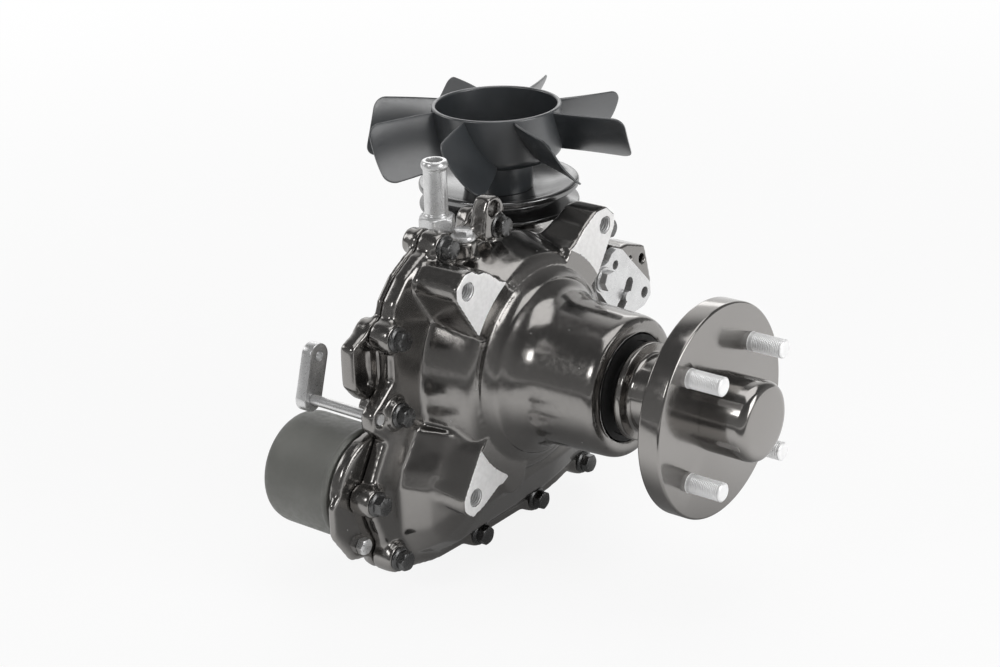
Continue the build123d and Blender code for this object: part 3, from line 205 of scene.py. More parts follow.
# %% [markdown]
# ## Finishes
# Paint, plating and bare metal differ in a few numbers only: base colour, gloss, metal or not,
# and how much each one wanders. So one maker builds them all. On the outer casing the mounting
# pads were milled after painting, so there the same material turns from paint to bare metal,
# by a distance that the mesh carries in an attribute called bare.

# %% Bare milled metal over paint
MILLED_FADE = 0.3
MILLED_GREYS = (0.88, 0.97)
MILLED_EXTRA_ROUGHNESS = 0.35
MILLED_METAL = 0.08


def milled_over_paint(tree, shader, spots, colour, roughness, coat):
    """Colour and roughness with bare metal where the mesh is inside its milled places. It sets
    the shader's metal and takes the clear coat off there."""
    bare_place = add(tree, "ShaderNodeAttribute", attribute_name="bare", attribute_type="GEOMETRY")
    milled = span(tree, bare_place.outputs["Fac"], 0.0, MILLED_FADE)
    cloud = span(tree, spots.outputs["Fine"], *FINE_RANGE)
    metal_colour = blend_colour(tree, cloud, grey(MILLED_GREYS[0]), grey(MILLED_GREYS[1]))
    plug(tree, shader.inputs["Metallic"], math_node(tree, "MULTIPLY", milled, MILLED_METAL))
    plug(tree, shader.inputs["Coat Weight"], math_node(tree, "MULTIPLY_ADD", milled, -coat, coat))
    rougher = math_node(tree, "MULTIPLY_ADD", milled, MILLED_EXTRA_ROUGHNESS, roughness)
    return blend_colour(tree, milled, colour, metal_colour), rougher


# %% Finish maker
SPECK_GREY = 0.4
SPECK_EXTRA_ROUGHNESS = 0.3
SMOOTHEST = 0.02


def finish(name, base, rough, metallic=0.0, mottle_scale=60.0, colour_spread=0.12, rough_spread=0.08,
           bump=0.0, bump_scale=900, coat=0.0, coat_rough=0.1, ior=1.5, specular=0.5, warm=0.0,
           tint=0.0, specks=0.0, machined=False):
    """A whole finish: a base grey or colour with mottled colour and gloss, a fine bump whose depth
    is in metres, specks of dust, and milled bare metal where a mesh says so."""
    material = bpy.data.materials.new(name)
    material.use_nodes = True
    tree = material.node_tree
    shader = tree.nodes["Principled BSDF"]
    shader.inputs["Metallic"].default_value = metallic
    shader.inputs["IOR"].default_value = ior
    shader.inputs["Specular IOR Level"].default_value = specular
    shader.inputs["Specular Tint"].default_value = (1.0, 1.0 - 0.5 * tint, 1.0 - tint, 1.0)
    shader.inputs["Coat Weight"].default_value = coat
    shader.inputs["Coat Roughness"].default_value = coat_rough
    spots = add(tree, "ShaderNodeGroup", node_tree=mottle)
    spots.inputs["Scale"].default_value = mottle_scale
    base = grey(base, warm) if isinstance(base, float) else (*base, 1.0)
    dark = tuple(c * (1 - colour_spread) for c in base[:3]) + (1.0,)
    light = tuple(min(1.0, c * (1 + colour_spread)) for c in base[:3]) + (1.0,)
    colour = blend_colour(tree, span(tree, spots.outputs["Broad"], *BROAD_RANGE), dark, light)
    smooth_end = max(SMOOTHEST, rough - rough_spread)
    roughness = span(tree, spots.outputs["Fine"], *FINE_RANGE, smooth_end, rough + rough_spread)
    if specks > 0:
        dust = add(tree, "ShaderNodeGroup", node_tree=dust_specks)
        dust.inputs["Amount"].default_value = specks
        colour = blend_colour(tree, dust.outputs["Mask"], colour, grey(SPECK_GREY))
        roughness = math_node(tree, "MULTIPLY_ADD", dust.outputs["Mask"], SPECK_EXTRA_ROUGHNESS, roughness)
    if machined:
        colour, roughness = milled_over_paint(tree, shader, spots, colour, roughness, coat)
    plug(tree, shader.inputs["Base Color"], colour)
    plug(tree, shader.inputs["Roughness"], roughness)
    if bump > 0:
        place = add(tree, "ShaderNodeTexCoord").outputs["Object"]
        grain = add(tree, "ShaderNodeTexNoise", {"Vector": place, "Scale": bump_scale, "Detail": 3.0})
        depth = {"Height": grain.outputs["Fac"], "Strength": 1.0, "Distance": bump}
        plug(tree, shader.inputs["Normal"], add(tree, "ShaderNodeBump", depth).outputs["Normal"])
    return material


# %% [markdown]
# ## The finishes of this transaxle
# Gloss black over rough castings and smoother black over the turned hub, black oxide on the
# bolts, bright zinc on fittings and levers, and a whiter, softer zinc on the rolled studs. The
# black paints reflect more than real paint does, which stands in for the bright studio table.

# %% Finishes by slot
FINISHES = {
    "casing_paint": finish("casing_paint", 0.014, 0.19, coat=0.6, coat_rough=0.06, ior=2.1, specular=1.0,
                           bump=0.00002, bump_scale=600, mottle_scale=35, colour_spread=0.25,
                           rough_spread=0.04, warm=0.03, tint=0.08, specks=0.012, machined=True),
    "hub_paint": finish("hub_paint", 0.014, 0.15, coat=0.6, coat_rough=0.07, ior=2.3, specular=1.0,
                        bump=0.00001, bump_scale=700, mottle_scale=30, colour_spread=0.2,
                        rough_spread=0.03, warm=0.02, tint=0.08),
    "black_steel": finish("black_steel", 0.012, 0.28, ior=1.8, specular=0.7, mottle_scale=60,
                          colour_spread=0.1, rough_spread=0.03, bump=0.000002, bump_scale=1200),
    "steel": finish("steel", 0.55, 0.3, metallic=1.0, mottle_scale=120),
    "gear_steel": finish("gear_steel", 0.38, 0.34, metallic=1.0, mottle_scale=120),
    "iron": finish("iron", 0.3, 0.5, metallic=1.0, mottle_scale=90, bump=0.0001, bump_scale=900),
    "zinc": finish("zinc", 0.74, 0.3, metallic=0.75, mottle_scale=110, colour_spread=0.05,
                   rough_spread=0.03, bump=0.000002, bump_scale=1500),
    "stud_zinc": finish("stud_zinc", 0.94, 0.36, metallic=0.3, mottle_scale=80, colour_spread=0.03,
                        rough_spread=0.02),
    "rubber": finish("rubber", 0.025, 0.6, mottle_scale=90, bump=0.00005, bump_scale=1800),
    "bronze": finish("bronze", (0.6, 0.42, 0.22), 0.36, metallic=1.0, mottle_scale=120),
    "cast_aluminium": finish("cast_aluminium", 0.55, 0.48, metallic=1.0, mottle_scale=90,
                             bump=0.0001, bump_scale=800),
    "pulley_steel": finish("pulley_steel", 0.012, 0.2, ior=2.0, specular=1.0, mottle_scale=60,
                           colour_spread=0.2, rough_spread=0.02, bump=0.000003, bump_scale=900),
    "fan_plastic": finish("fan_plastic", (0.032, 0.036, 0.04), 0.31, ior=1.7, specular=1.0,
                          mottle_scale=40, rough_spread=0.02, bump=0.000005, bump_scale=900),
    "filter_paint": finish("filter_paint", (0.18, 0.182, 0.168), 0.5, mottle_scale=30,
                           colour_spread=0.06, bump=0.00002, bump_scale=1500),
    "thread_steel": finish("thread_steel", 0.7, 0.4, metallic=0.5, mottle_scale=200),
    "paper": finish("paper", (0.75, 0.66, 0.45), 0.8, mottle_scale=60, bump=0.0001, bump_scale=900),
}
print("finishes:", len(FINISHES))

# %% Every model node takes the finish of its slot
SLOT_OF = {row["node"]: row["material_slot"] for row in frame["record"]["subparts"]}
for node_name, node in NODES.items():
    node.data.materials.clear()
    node.data.materials.append(FINISHES[SLOT_OF[node_name]])
print("nodes dressed:", len(NODES))

# %% [markdown]
# ## Turned pieces
# A turned piece is a profile swung round a line. The profile is a list of corners, each as
# (place along the line, radius) in millimetres, sometimes with a third number, the corner's
# own size. Real corners are never knife edges, so each one is first cut by a small curve.

# %% Profiles
CUT_STEPS = 4
LONGEST_CUT = 0.48
SMALLEST_CUT = 0.02
ON_THE_LINE = 0.01


def soft_profile(corners, radius):
    """Corners of (along, radius[, corner size]) with each corner c cut by the curve
    (1-t)^2 a + 2t(1-t) c + t^2 b, where a and b lie on its two sides, a corner size away or
    just under half the side where that is less. Corners on the line itself stay sharp."""
    points = np.array([c[:2] for c in corners], float)
    sizes = np.array([c[2] if len(c) > 2 else radius for c in corners])
    before, after = np.roll(points, 1, 0), np.roll(points, -1, 0)
    t = np.linspace(0, 1, CUT_STEPS + 1)[:, None]
    result = []
    for c, p, n, size in zip(points, before, after, sizes):
        to_p, to_n = np.linalg.norm(p - c), np.linalg.norm(n - c)
        reach = min(size, LONGEST_CUT * to_p, LONGEST_CUT * to_n)
        if reach < SMALLEST_CUT or c[1] < ON_THE_LINE:
            result.append(c[None, :])
            continue
        a, b = c + (p - c) * reach / to_p, c + (n - c) * reach / to_n
        result.append((1 - t) ** 2 * a + 2 * t * (1 - t) * c + t ** 2 * b)
    return np.concatenate(result)


# %% Grids of points as surfaces


def grid_faces(rows, columns, wrap_rows=False):
    """The quads of a grid of rows x columns points, numbered row by row and closed round."""
    r = np.arange(rows if wrap_rows else rows - 1)
    r0, c0 = np.meshgrid(r, np.arange(columns), indexing="ij")
    r1, c1 = (r0 + 1) % rows, (c0 + 1) % columns
    corners = [r0 * columns + c0, r0 * columns + c1, r1 * columns + c1, r1 * columns + c0]
    return np.stack(corners, -1).reshape(-1, 4)


def lay_along(along, across_1, across_2, axis, centre):
    """Points from their place along an axis (x or z) and across it, round a centre, in metres."""
    if axis == "x":
        points = np.stack([along, centre[0] + across_1, centre[1] + across_2], -1)
    else:
        points = np.stack([centre[0] + across_1, centre[1] + across_2, along], -1)
    return points.reshape(-1, 3) * MM


def turned(profile, axis="x", centre=(0.0, 0.0), radius=0.5, segments=160):
    """Points and quads of a turned surface: (a, r cos u, r sin u), u from 0 to a full turn."""
    ring = soft_profile(profile, radius)
    u = np.linspace(0, 2 * np.pi, segments, endpoint=False)
    along = np.repeat(ring[:, :1], segments, 1)
    verts = lay_along(along, ring[:, 1:] * np.cos(u), ring[:, 1:] * np.sin(u), axis, centre)
    return verts, grid_faces(len(ring), segments, wrap_rows=True)


def as_surface(rows, axis="x", centre=(0.0, 0.0), turn=0.0):
    """(along, radius, turn) arrays as points and quads round a line."""
    along, radius, u = rows
    u = u + turn
    verts = lay_along(along, radius * np.cos(u), radius * np.sin(u), axis, centre)
    return verts, grid_faces(*along.shape)


def join_surfaces(parts):
    """Several (verts, faces) pairs as one."""
    verts, faces, first = [], [], 0
    for v, f in parts:
        verts.append(v)
        faces.append(f + first)
        first += len(v)
    return np.concatenate(verts), np.concatenate(faces)


# %% Surfaces as pieces on a body
SAME_POINT = 2e-6
SHARP_ANGLE = 35.0


def mesh_of(name, parts):
    """One mesh from several surfaces. Doubled points are merged, flat slivers dropped and the
    faces turned outwards."""
    verts, faces = join_surfaces(parts)
    mesh = bpy.data.meshes.new(name)
    mesh.from_pydata(verts.tolist(), [], faces.tolist())
    shape = bmesh.new()
    shape.from_mesh(mesh)
    bmesh.ops.remove_doubles(shape, verts=shape.verts, dist=SAME_POINT)
    bmesh.ops.dissolve_degenerate(shape, edges=shape.edges, dist=SAME_POINT)
    bmesh.ops.recalc_face_normals(shape, faces=shape.faces)
    shape.to_mesh(mesh)
    shape.free()
    return mesh


def dress(name, mesh, finish_name, body, slot=None, sharp=SHARP_ANGLE, stands_for=()):
    """Gives a mesh its finish, its smooth shading and its body, and hides the model nodes it stands for."""
    piece = bpy.data.objects.new(name, mesh)
    bpy.context.scene.collection.objects.link(piece)
    mesh.materials.append(FINISHES[finish_name])
    mesh.shade_smooth()
    mesh.set_sharp_from_angle(angle=math.radians(sharp))
    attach(piece, body)
    if stands_for:
        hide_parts(*stands_for)
    return piece


def make_piece(name, parts, finish_name, body, **options):
    """A dressed piece from surfaces. The options are those of dress."""
    return dress(name, mesh_of(name, parts), finish_name, body, **options)


# %% [markdown]
# ## Wheel hub, studs and cap
# The hub is turned from a forging and painted. The holes for its studs are cut by a boolean,
# as they are drilled on the real one. The studs are pressed in from behind and have rolled
# threads with zinc plate, so their threads are modelled as real helices.

# %% Hub
DISC_R, DISC_T = 71.5, 16.0
NECK_R = 25.0
COLLAR_R = 32.8
HUB_BACK = -62.0
hub_profile = [(HUB_BACK, 16.53), (HUB_BACK, 31.3), (-60.5, COLLAR_R), (-56, COLLAR_R, 1.2),
               (-56, NECK_R, 3.0), (-20, NECK_R, 4.0), (-DISC_T, 29, 3.0), (-DISC_T, DISC_R - 1),
               (1 - DISC_T, DISC_R), (-1, DISC_R), (0, DISC_R - 1), (0, 25.2, 0.3), (6, 25.2, 0.8),
               (6, 13.33)]
hub = make_piece("hub_turned", [turned(hub_profile, radius=0.7, segments=240)], "hub_paint", "wheel_end",
                 stands_for=["wheel_hub"])

# %% Stud holes
STUD_CIRCLE = 50.8
STUD_HOLE_R = 6.62
STUD_ANGLES = np.radians([45, 135, 225, 315])
STUD_PLACES = [(STUD_CIRCLE * math.cos(a), STUD_CIRCLE * math.sin(a)) for a in STUD_ANGLES]


def applied(piece):
    """The mesh of a piece with its modifiers applied."""
    return bpy.data.meshes.new_from_object(piece.evaluated_get(bpy.context.evaluated_depsgraph_get()))


def drill(piece, places, radius, start, end):
    """Cuts round holes along x through a piece with a boolean, then applies it."""
    rod = [(start, 0), (start, radius), (end, radius), (end, 0)]
    cutter = bpy.data.objects.new("drill", mesh_of("drill", [turned(rod, "x", at, 0.0, 48) for at in places]))
    bpy.context.scene.collection.objects.link(cutter)
    cut = piece.modifiers.new("cut", "BOOLEAN")
    cut.object, cut.operation, cut.solver = cutter, "DIFFERENCE", "EXACT"
    new_mesh = applied(piece)
    piece.modifiers.clear()
    piece.data = new_mesh
    new_mesh.set_sharp_from_angle(angle=math.radians(SHARP_ANGLE))
    bpy.data.objects.remove(cutter)


drill(hub, STUD_PLACES, STUD_HOLE_R, start=-18, end=2)
print("hub faces:", len(hub.data.polygons))

# %% Rolled threads
FLANK_STEEPNESS = 1.35
CREST_SHARE = 0.12


def screw_surface(start, end, outer, depth, pitch, segments=40, per_turn=10, fade=1.2):
    """A thread's flanks: r = outer - depth * h, where h goes up and down once a turn along the
    screw line, flat at its top and bottom, and the depth fades out at both ends. Gives
    (along, radius, turn) arrays."""
    rows = int((end - start) / pitch * per_turn)
    a = np.linspace(start, end, rows)[:, None]
    u = np.linspace(0, 2 * np.pi, segments, endpoint=False)[None, :]
    phase = (a / pitch - u / (2 * np.pi)) % 1.0
    h = np.clip((1 - np.abs(2 * phase - 1)) * FLANK_STEEPNESS - CREST_SHARE, 0, 1)
    ends = np.clip(np.minimum(a - start, end - a) / fade, 0, 1)
    return a + 0 * u, outer - depth * h * ends, u + 0 * a


# %% Studs
SHANK_R, THREAD_R = 6.58, 6.3
THREAD_START, THREAD_END, STUD_END = 2.6, 24.2, 25.0
THREAD_DEPTH, THREAD_PITCH = 0.72, 1.27
stud_shank = [(-21, 0), (-21, 9, 1.2), (-DISC_T, 9), (-DISC_T, SHANK_R), (0.3, SHANK_R), (0.3, THREAD_R),
              (THREAD_START, THREAD_R), (THREAD_START, 0)]
stud_nose = [(THREAD_END, 0), (THREAD_END, THREAD_R, 0.1), (STUD_END, 5.3, 0.3), (STUD_END, 0)]
stud_parts = []
for place in STUD_PLACES:
    stud_thread = screw_surface(THREAD_START, THREAD_END, THREAD_R, THREAD_DEPTH, THREAD_PITCH)
    stud_parts.append(turned(stud_shank, "x", place, 0.3, 48))
    stud_parts.append(as_surface(stud_thread, "x", place))
    stud_parts.append(turned(stud_nose, "x", place, 0.2, 40))
studs = make_piece("studs_threaded", stud_parts, "stud_zinc", "wheel_end", slot="zinc", sharp=50,
                   stands_for=["wheel_studs"])
print("stud faces:", len(studs.data.polygons))

# %% Cap
CAP_R, CAP_END, CAP_WALL = 26.7, 33.4, 1.5
cap_profile = [(0, 25.25), (0, CAP_R, 0.3), (CAP_END, CAP_R, 7.0), (CAP_END, 0), (CAP_END - CAP_WALL, 0),
               (CAP_END - CAP_WALL, CAP_R - CAP_WALL, 5.0)]
cap = make_piece("cap_pressed", [turned(cap_profile, radius=0.3)], "hub_paint", "wheel_end",
                 stands_for=["hub_cap"])
print("cap faces:", len(cap.data.polygons))

# %% [markdown]
# ## Bolts and fittings
# Each flanged bolt is a turned washer face under a chamfered hexagon. The chamfer is where a
# cone cuts the hexagon, which gives the curved corners of a real bolt head. The hose fitting,
# the vent plug and the small bolt are made of the same two shapes and are zinc plated.

# %% Hexagons
CHAMFER_SLOPE = math.tan(math.radians(30))
CHAMFER_CIRCLE = 0.96
HEX_ROWS = np.array([0, 0, 0.04, 0.08, 0.14, 0.25, 0.5, 0.75, 0.86, 0.92, 0.96, 1.0, 1.0])


def hex_rows(start, end, across, chamfer_start=False, segments=72):
    """A hexagon's side and chamfers: the smaller of the hexagon's radius at each turn,
    (across/2) / cos(turn within a flat), and a 30 degree cone that meets it near the end, and
    near the start where that is asked for. The first and last rows close it on its line."""
    u = np.linspace(0, 2 * np.pi, segments, endpoint=False)
    within = (u + np.pi / 6) % (np.pi / 3) - np.pi / 6
    flat = across / 2 / np.cos(within)
    corner = across / math.sqrt(3)
    a = start + (end - start) * HEX_ROWS
    face_r = across / 2 * CHAMFER_CIRCLE
    cone = face_r + np.abs(end - a) / CHAMFER_SLOPE
    if chamfer_start:
        cone = np.minimum(cone, face_r + np.abs(a - start) / CHAMFER_SLOPE)
    radius = np.minimum(np.minimum(flat[None, :], cone[:, None]), corner)
    radius[0], radius[-1] = 0.0, 0.0
    return np.repeat(a[:, None], segments, 1), radius, np.repeat(u[None, :], len(a), 0)


# %% Flange bolts
BOLT_PLACES = [(-61.0, 95.0), (-5.0, 94.0), (115.0, 57.0), (124.0, -14.0), (124.0, -62.0), (85.0, -115.0),
               (27.5, -121.0), (-37.0, -121.0), (-121.0, -104.0), (-140.0, -56.0), (-112.5, -3.5),
               (-112.0, 49.0)]
BOLT_SEAT, BOLT_R, BOLT_LENGTH = -172.0, 4.0, 28.0
BOLT_HEX = 12.0
HEAD_TURN = 0.7
FILTER = (-121.0, -57.0)
FILTER_REACH = 49.0
SHORT_TIP = -197.0


def flange_bolt(place, turn):
    """One bolt: shank and flange, the hexagon, and the raised ring on its top. Behind the filter's
    seat the bolts are shorter."""
    near_filter = math.hypot(place[0] - FILTER[0], place[1] - FILTER[1]) <= FILTER_REACH
    tip = SHORT_TIP if near_filter else BOLT_SEAT - BOLT_LENGTH
    shank = [(tip, 0), (tip, BOLT_R, 0.8), (BOLT_SEAT, BOLT_R, 0), (BOLT_SEAT, 8.5),
             (BOLT_SEAT + 1.3, 8.5, 0.5), (BOLT_SEAT + 2.4, 6.6, 0.4), (BOLT_SEAT + 2.4, 0)]
    ring = [(BOLT_SEAT + 7.4, 0), (BOLT_SEAT + 7.4, 4.6), (BOLT_SEAT + 7.98, 4.6, 0.2),
            (BOLT_SEAT + 7.98, 3.9, 0.2), (BOLT_SEAT + 7.6, 3.6), (BOLT_SEAT + 7.6, 0)]
    head = hex_rows(BOLT_SEAT + 2, BOLT_SEAT + 8, BOLT_HEX)
    return [turned(shank, "x", place, 0.2, 48), as_surface(head, "x", place, turn),
            turned(ring, "x", place, 0.1, 32)]


bolt_parts = []
for index, place in enumerate(BOLT_PLACES):
    bolt_parts += flange_bolt(place, index * HEAD_TURN)
make_piece("bolts_flanged", bolt_parts, "black_steel", "casing", stands_for=["flange_bolts"])
print("flange bolts:", len(BOLT_PLACES))

# %% Hose fitting
BARB = (-199.6, -34.7)
BARB_BORE = 5.6
barb_profile = [(83, BARB_BORE), (83, 6.9), (93, 6.9), (93, 8.9), (106, 8.9, 0.6), (107, 7.9, 0.8),
                (137, 7.9, 0.8), (138.5, 9.1, 1.0), (141, 9.1, 1.2), (143, 7.9, 0.8), (143, BARB_BORE, 0.4)]
barb = [turned(barb_profile, "z", BARB, 0.3, 72),
        as_surface(hex_rows(93, 105, 22.2, chamfer_start=True), "z", BARB, turn=math.radians(30))]
make_piece("barb_plated", barb, "zinc", "casing", stands_for=["hose_barb"])
print("hose fitting, mm:", BARB)

# %% Vent plug
VENT = (-176.8, -36.0)
vent_profile = [(85, 0), (85, 5), (93, 5), (93, 8.5), (94.5, 8.5, 0.5), (96, 8, 0.4), (96, 0)]
vent = [turned(vent_profile, "z", VENT, 0.3, 48), as_surface(hex_rows(96, 100, 11), "z", VENT)]
make_piece("vent_plated", vent, "zinc", "casing", stands_for=["vent_plug"])
print("vent plug, mm:", VENT)

# %% Small bolt under the filter's bracket
GUARD = (-140.0, -90.5)
GUARD_SEAT, GUARD_R = -188, 3
guard_shank = [(-197, 0), (-197, GUARD_R), (GUARD_SEAT, GUARD_R), (GUARD_SEAT, 0)]
guard = [turned(guard_shank, "x", GUARD, 0.1, 24),
         as_surface(hex_rows(GUARD_SEAT, GUARD_SEAT + 5, 10), "x", GUARD, turn=0.4)]
make_piece("guard_bolt_plated", guard, "zinc", "casing", stands_for=["guard_bolt"])
print("small bolt, mm:", GUARD)

# %% [markdown]
# ## Filter can
# A spin-on filter is a drawn steel can with a rolled seam at its open end. The seam and the
# rounded bottom catch the light, so both are true curves.

# %% Filter can
CAN_R, CAN_INSIDE_R = 38.5, 36.9
CAN_BOTTOM, CAN_MOUTH = -258.8, -198.8
can_outside = [(CAN_BOTTOM, 0), (CAN_BOTTOM, 29.5, 3.0), (-257.6, 33.5, 2.0), (-254.8, 37, 2.5),
               (-249.8, CAN_R, 4.0), (-203.4, CAN_R, 1.0)]
can_seam = [(-202.2, 39.0, 0.8), (-200.4, 39.2, 0.8), (CAN_MOUTH, 38.0, 0.8), (CAN_MOUTH, 9.2), (-208.8, 9.2),
            (-208.8, 14), (-201.8, 14)]
can_inside = [(-201.8, CAN_INSIDE_R), (-250.8, CAN_INSIDE_R, 3.0), (-257.0, 29.5, 2.0), (-257.0, 0)]
can = [turned(can_outside + can_seam + can_inside, "x", FILTER, 0.4)]
make_piece("can_drawn", can, "filter_paint", "casing", stands_for=["filter_canister"])
print("can, mm across:", 2 * CAN_R)

# %% [markdown]
# ## Fan and pulley
# The fan is moulded: a thin open cup and eight cambered, twisted blades whose outer corners
# are rounded. Each blade is a grid: one way out from the cup, the other across the chord. The
# pulley's two dished discs meet at the bottom of its V, and are drawn as one closed profile.

# %% Fan blades
INPUT = (-239.8, 83.2)
BLADES = 8
FIRST_BLADE = 22.5
BLADE_ROOT, BLADE_TIP, TIP_CORNER = 44.4, 95.2, 8.0
LINES_FROM, LINES_TO = 44.0, 96.25
TOP_Z, BOTTOM_Z = (144.0, 142.4), (112.0, 106.6)
HALF_ANGLE = (14.2, 8.2)
CAMBER = 0.09
HALF_THICKNESS, THINNING = 1.05, 0.25


def fan_blade(turn, rows=28, columns=30):
    """One blade as a closed sheet. At a reach s the chord runs from its top corner to its bottom
    corner, sagging by the camber times 4 v (1 - v), and the sheet's half thickness fades to its
    edges as a flattened ellipse. The corners follow a circle, so the chord narrows near the tip.
    The pairs above give each line's value at the root's and at the tip's end of the lines."""
    s = BLADE_ROOT + (BLADE_TIP - BLADE_ROOT) * (1 - (1 - np.linspace(0, 1, rows)) ** 1.6)
    share = (s - LINES_FROM) / (LINES_TO - LINES_FROM)
    top = TOP_Z[0] + (TOP_Z[1] - TOP_Z[0]) * share
    bottom = BOTTOM_Z[0] + (BOTTOM_Z[1] - BOTTOM_Z[0]) * share
    half = s * np.tan(np.radians(HALF_ANGLE[0] + (HALF_ANGLE[1] - HALF_ANGLE[0]) * share))
    chord = np.hypot(2 * half, top - bottom)
    past = np.clip((s - (BLADE_TIP - TIP_CORNER)) / TIP_CORNER, 0, 1)
    trim = TIP_CORNER * (1 - np.sqrt(np.clip(1 - past ** 2, 0, 1))) / chord
    w = np.linspace(0, 1, columns)
    v = trim[:, None] + (1 - 2 * trim[:, None]) * (0.5 - 0.5 * np.cos(np.pi * w))[None, :]
    camber = CAMBER * (top - bottom)[:, None]
    ny, nz = ((top - bottom) / chord)[:, None], (2 * half / chord)[:, None]
    sag = -camber * 4 * v * (1 - v)
    y = -half[:, None] + 2 * half[:, None] * v + ny * sag
    z = top[:, None] + (bottom - top)[:, None] * v + nz * sag
    side_fade = np.sqrt(np.clip(1 - (2 * w[None, :] - 1) ** 8, 0, 1))
    tip_fade = np.sqrt(np.clip(1 - share[:, None] ** 40, 0.02, 1))
    t = HALF_THICKNESS * (side_fade * tip_fade) * (1 - THINNING * share[:, None])
    sides = []
    for sign in (1, -1):
        yy, zz = y + sign * ny * t, z + sign * nz * t
        xx = np.sqrt(np.clip(s[:, None] ** 2 - yy ** 2, 0, None))
        sides.append(np.stack([xx, yy, zz], -1))
    loop = np.concatenate([sides[0], sides[1][:, ::-1]], 1)
    c, d = math.cos(turn), math.sin(turn)
    x = INPUT[0] + loop[..., 0] * c - loop[..., 1] * d
    y = INPUT[1] + loop[..., 0] * d + loop[..., 1] * c
    verts = np.stack([x, y, loop[..., 2]], -1).reshape(-1, 3) * MM
    i = np.arange(columns - 1)
    root_cap = np.stack([i, i + 1, 2 * columns - 2 - i, 2 * columns - 1 - i], -1)
    tip_cap = root_cap + (rows - 1) * 2 * columns
    return verts, np.concatenate([grid_faces(rows, 2 * columns), tip_cap, root_cap[:, ::-1]])


# %% Fan
SLEEVE_R = 13.6
CUP_R, CUP_INSIDE_R = 45.9, 42.8
CUP_TOP = 145.0
cup_outside = [(108, 6.03), (108, SLEEVE_R), (85.1, SLEEVE_R), (85.1, 24.6, 0.6), (107, 24.6, 2.0),
               (109, 41.9, 3.0), (113, CUP_R, 3.0), (CUP_TOP, CUP_R, 0.6)]
cup_rim = [(145.8, 45.1, 0.5), (145.8, 43.6, 0.5)]
cup_inside = [(CUP_TOP, CUP_INSIDE_R, 0.6), (116, CUP_INSIDE_R, 3.0), (112, 38.8, 3.0), (112, 6.03)]
fan_parts = [turned(cup_outside + cup_rim + cup_inside, "z", INPUT, 0.4)]
for number in range(BLADES):
    fan_parts.append(fan_blade(math.radians(FIRST_BLADE + 360 / BLADES * number)))
fan = make_piece("fan_moulded", fan_parts, "fan_plastic", "input", sharp=40, stands_for=["fan"])
print("fan faces:", len(fan.data.polygons))

# %% Pulley
PULLEY_R = 57.15
PULLEY_HUB_R, PULLEY_BORE_R = 13, 8.53
pulley_below = [(69.2, PULLEY_BORE_R), (69.2, PULLEY_HUB_R), (79.4, PULLEY_HUB_R, 2.0), (79.4, 30, 4.0),
                (76.4, 38, 4.0), (72.4, 47, 3.0)]
pulley_groove = [(72.4, 56.4, 0.6), (73.2, PULLEY_R, 0.6), (75.6, PULLEY_R, 1.0), (79.6, 42, 1.5),
                 (82.9, 42, 1.5), (86.4, PULLEY_R, 1.0), (89.8, PULLEY_R, 0.7), (90.6, 56.4, 0.6)]
pulley_above = [(90.6, 53.2, 2.0), (86.6, 40, 6.0), (85.1, 27, 5.0), (85.1, PULLEY_HUB_R, 0.5),
                (108, PULLEY_HUB_R), (108, PULLEY_BORE_R)]
pulley = [turned(pulley_below + pulley_groove + pulley_above, "z", INPUT, 0.4)]
make_piece("pulley_pressed", pulley, "pulley_steel", "input", stands_for=["pulley"])
print("pulley, mm across:", 2 * PULLEY_R)

# %% [markdown]
# ## Softened small parts
# Levers, nuts and plugs are stamped or machined, and tumbled before plating, which rounds
# their edges a little. Their shapes are right in the model, so each is copied and only its
# sharp edges are bevelled.

# %% Softened small parts
MODEL_SAME_POINT = 1e-6
FLAT_ANGLE, EDGE_ANGLE = 0.6, 28.0
SOFTENED = [("bypass_lever", "bypass", 0.8), ("control_arm", "control", 0.6), ("arm_bolt", "control", 0.4),
            ("fan_nut", "input", 0.4), ("drain_plug", "casing", 0.4)]


def copy_of(node_name):
    """A bare copy of a model node's mesh, and its editable form with doubled points merged."""
    mesh = NODES[node_name].data.copy()
    mesh.materials.clear()
    shape = bmesh.new()
    shape.from_mesh(mesh)
    bmesh.ops.remove_doubles(shape, verts=shape.verts, dist=MODEL_SAME_POINT)
    return mesh, shape


def softened(node_name, body, width):
    """A copy of a model node whose sharp edges are rounded over a width in mm, with three steps."""
    mesh, shape = copy_of(node_name)
    bmesh.ops.dissolve_limit(shape, angle_limit=math.radians(FLAT_ANGLE), verts=shape.verts,
                             edges=shape.edges)
    edges = [e for e in shape.edges if e.is_manifold and e.calc_face_angle() > math.radians(EDGE_ANGLE)]
    bmesh.ops.bevel(shape, geom=edges, offset=width * MM, offset_type="OFFSET", segments=3, profile=0.5,
                    affect="EDGES", clamp_overlap=True)
    bmesh.ops.triangulate(shape, faces=[f for f in shape.faces if len(f.verts) > 4])
    shape.to_mesh(mesh)
    shape.free()
    return dress(node_name + "_softened", mesh, SLOT_OF[node_name], body, sharp=40, stands_for=[node_name])


for node_name, body, width in SOFTENED:
    softened(node_name, body, width)
print("softened:", len(SOFTENED))

# %% [markdown]
# ## Castings
# A sand casting has no knife edges: its corners are round and its walls run into each other
# in fillets. The model's casting is copied, rebuilt as an even skin of small faces, and
# relaxed, which rounds every corner. Then the faces that a machine really cut, such as the
# mounting pads and the turned horn, are put back on their exact planes and circles.

# %% Skins


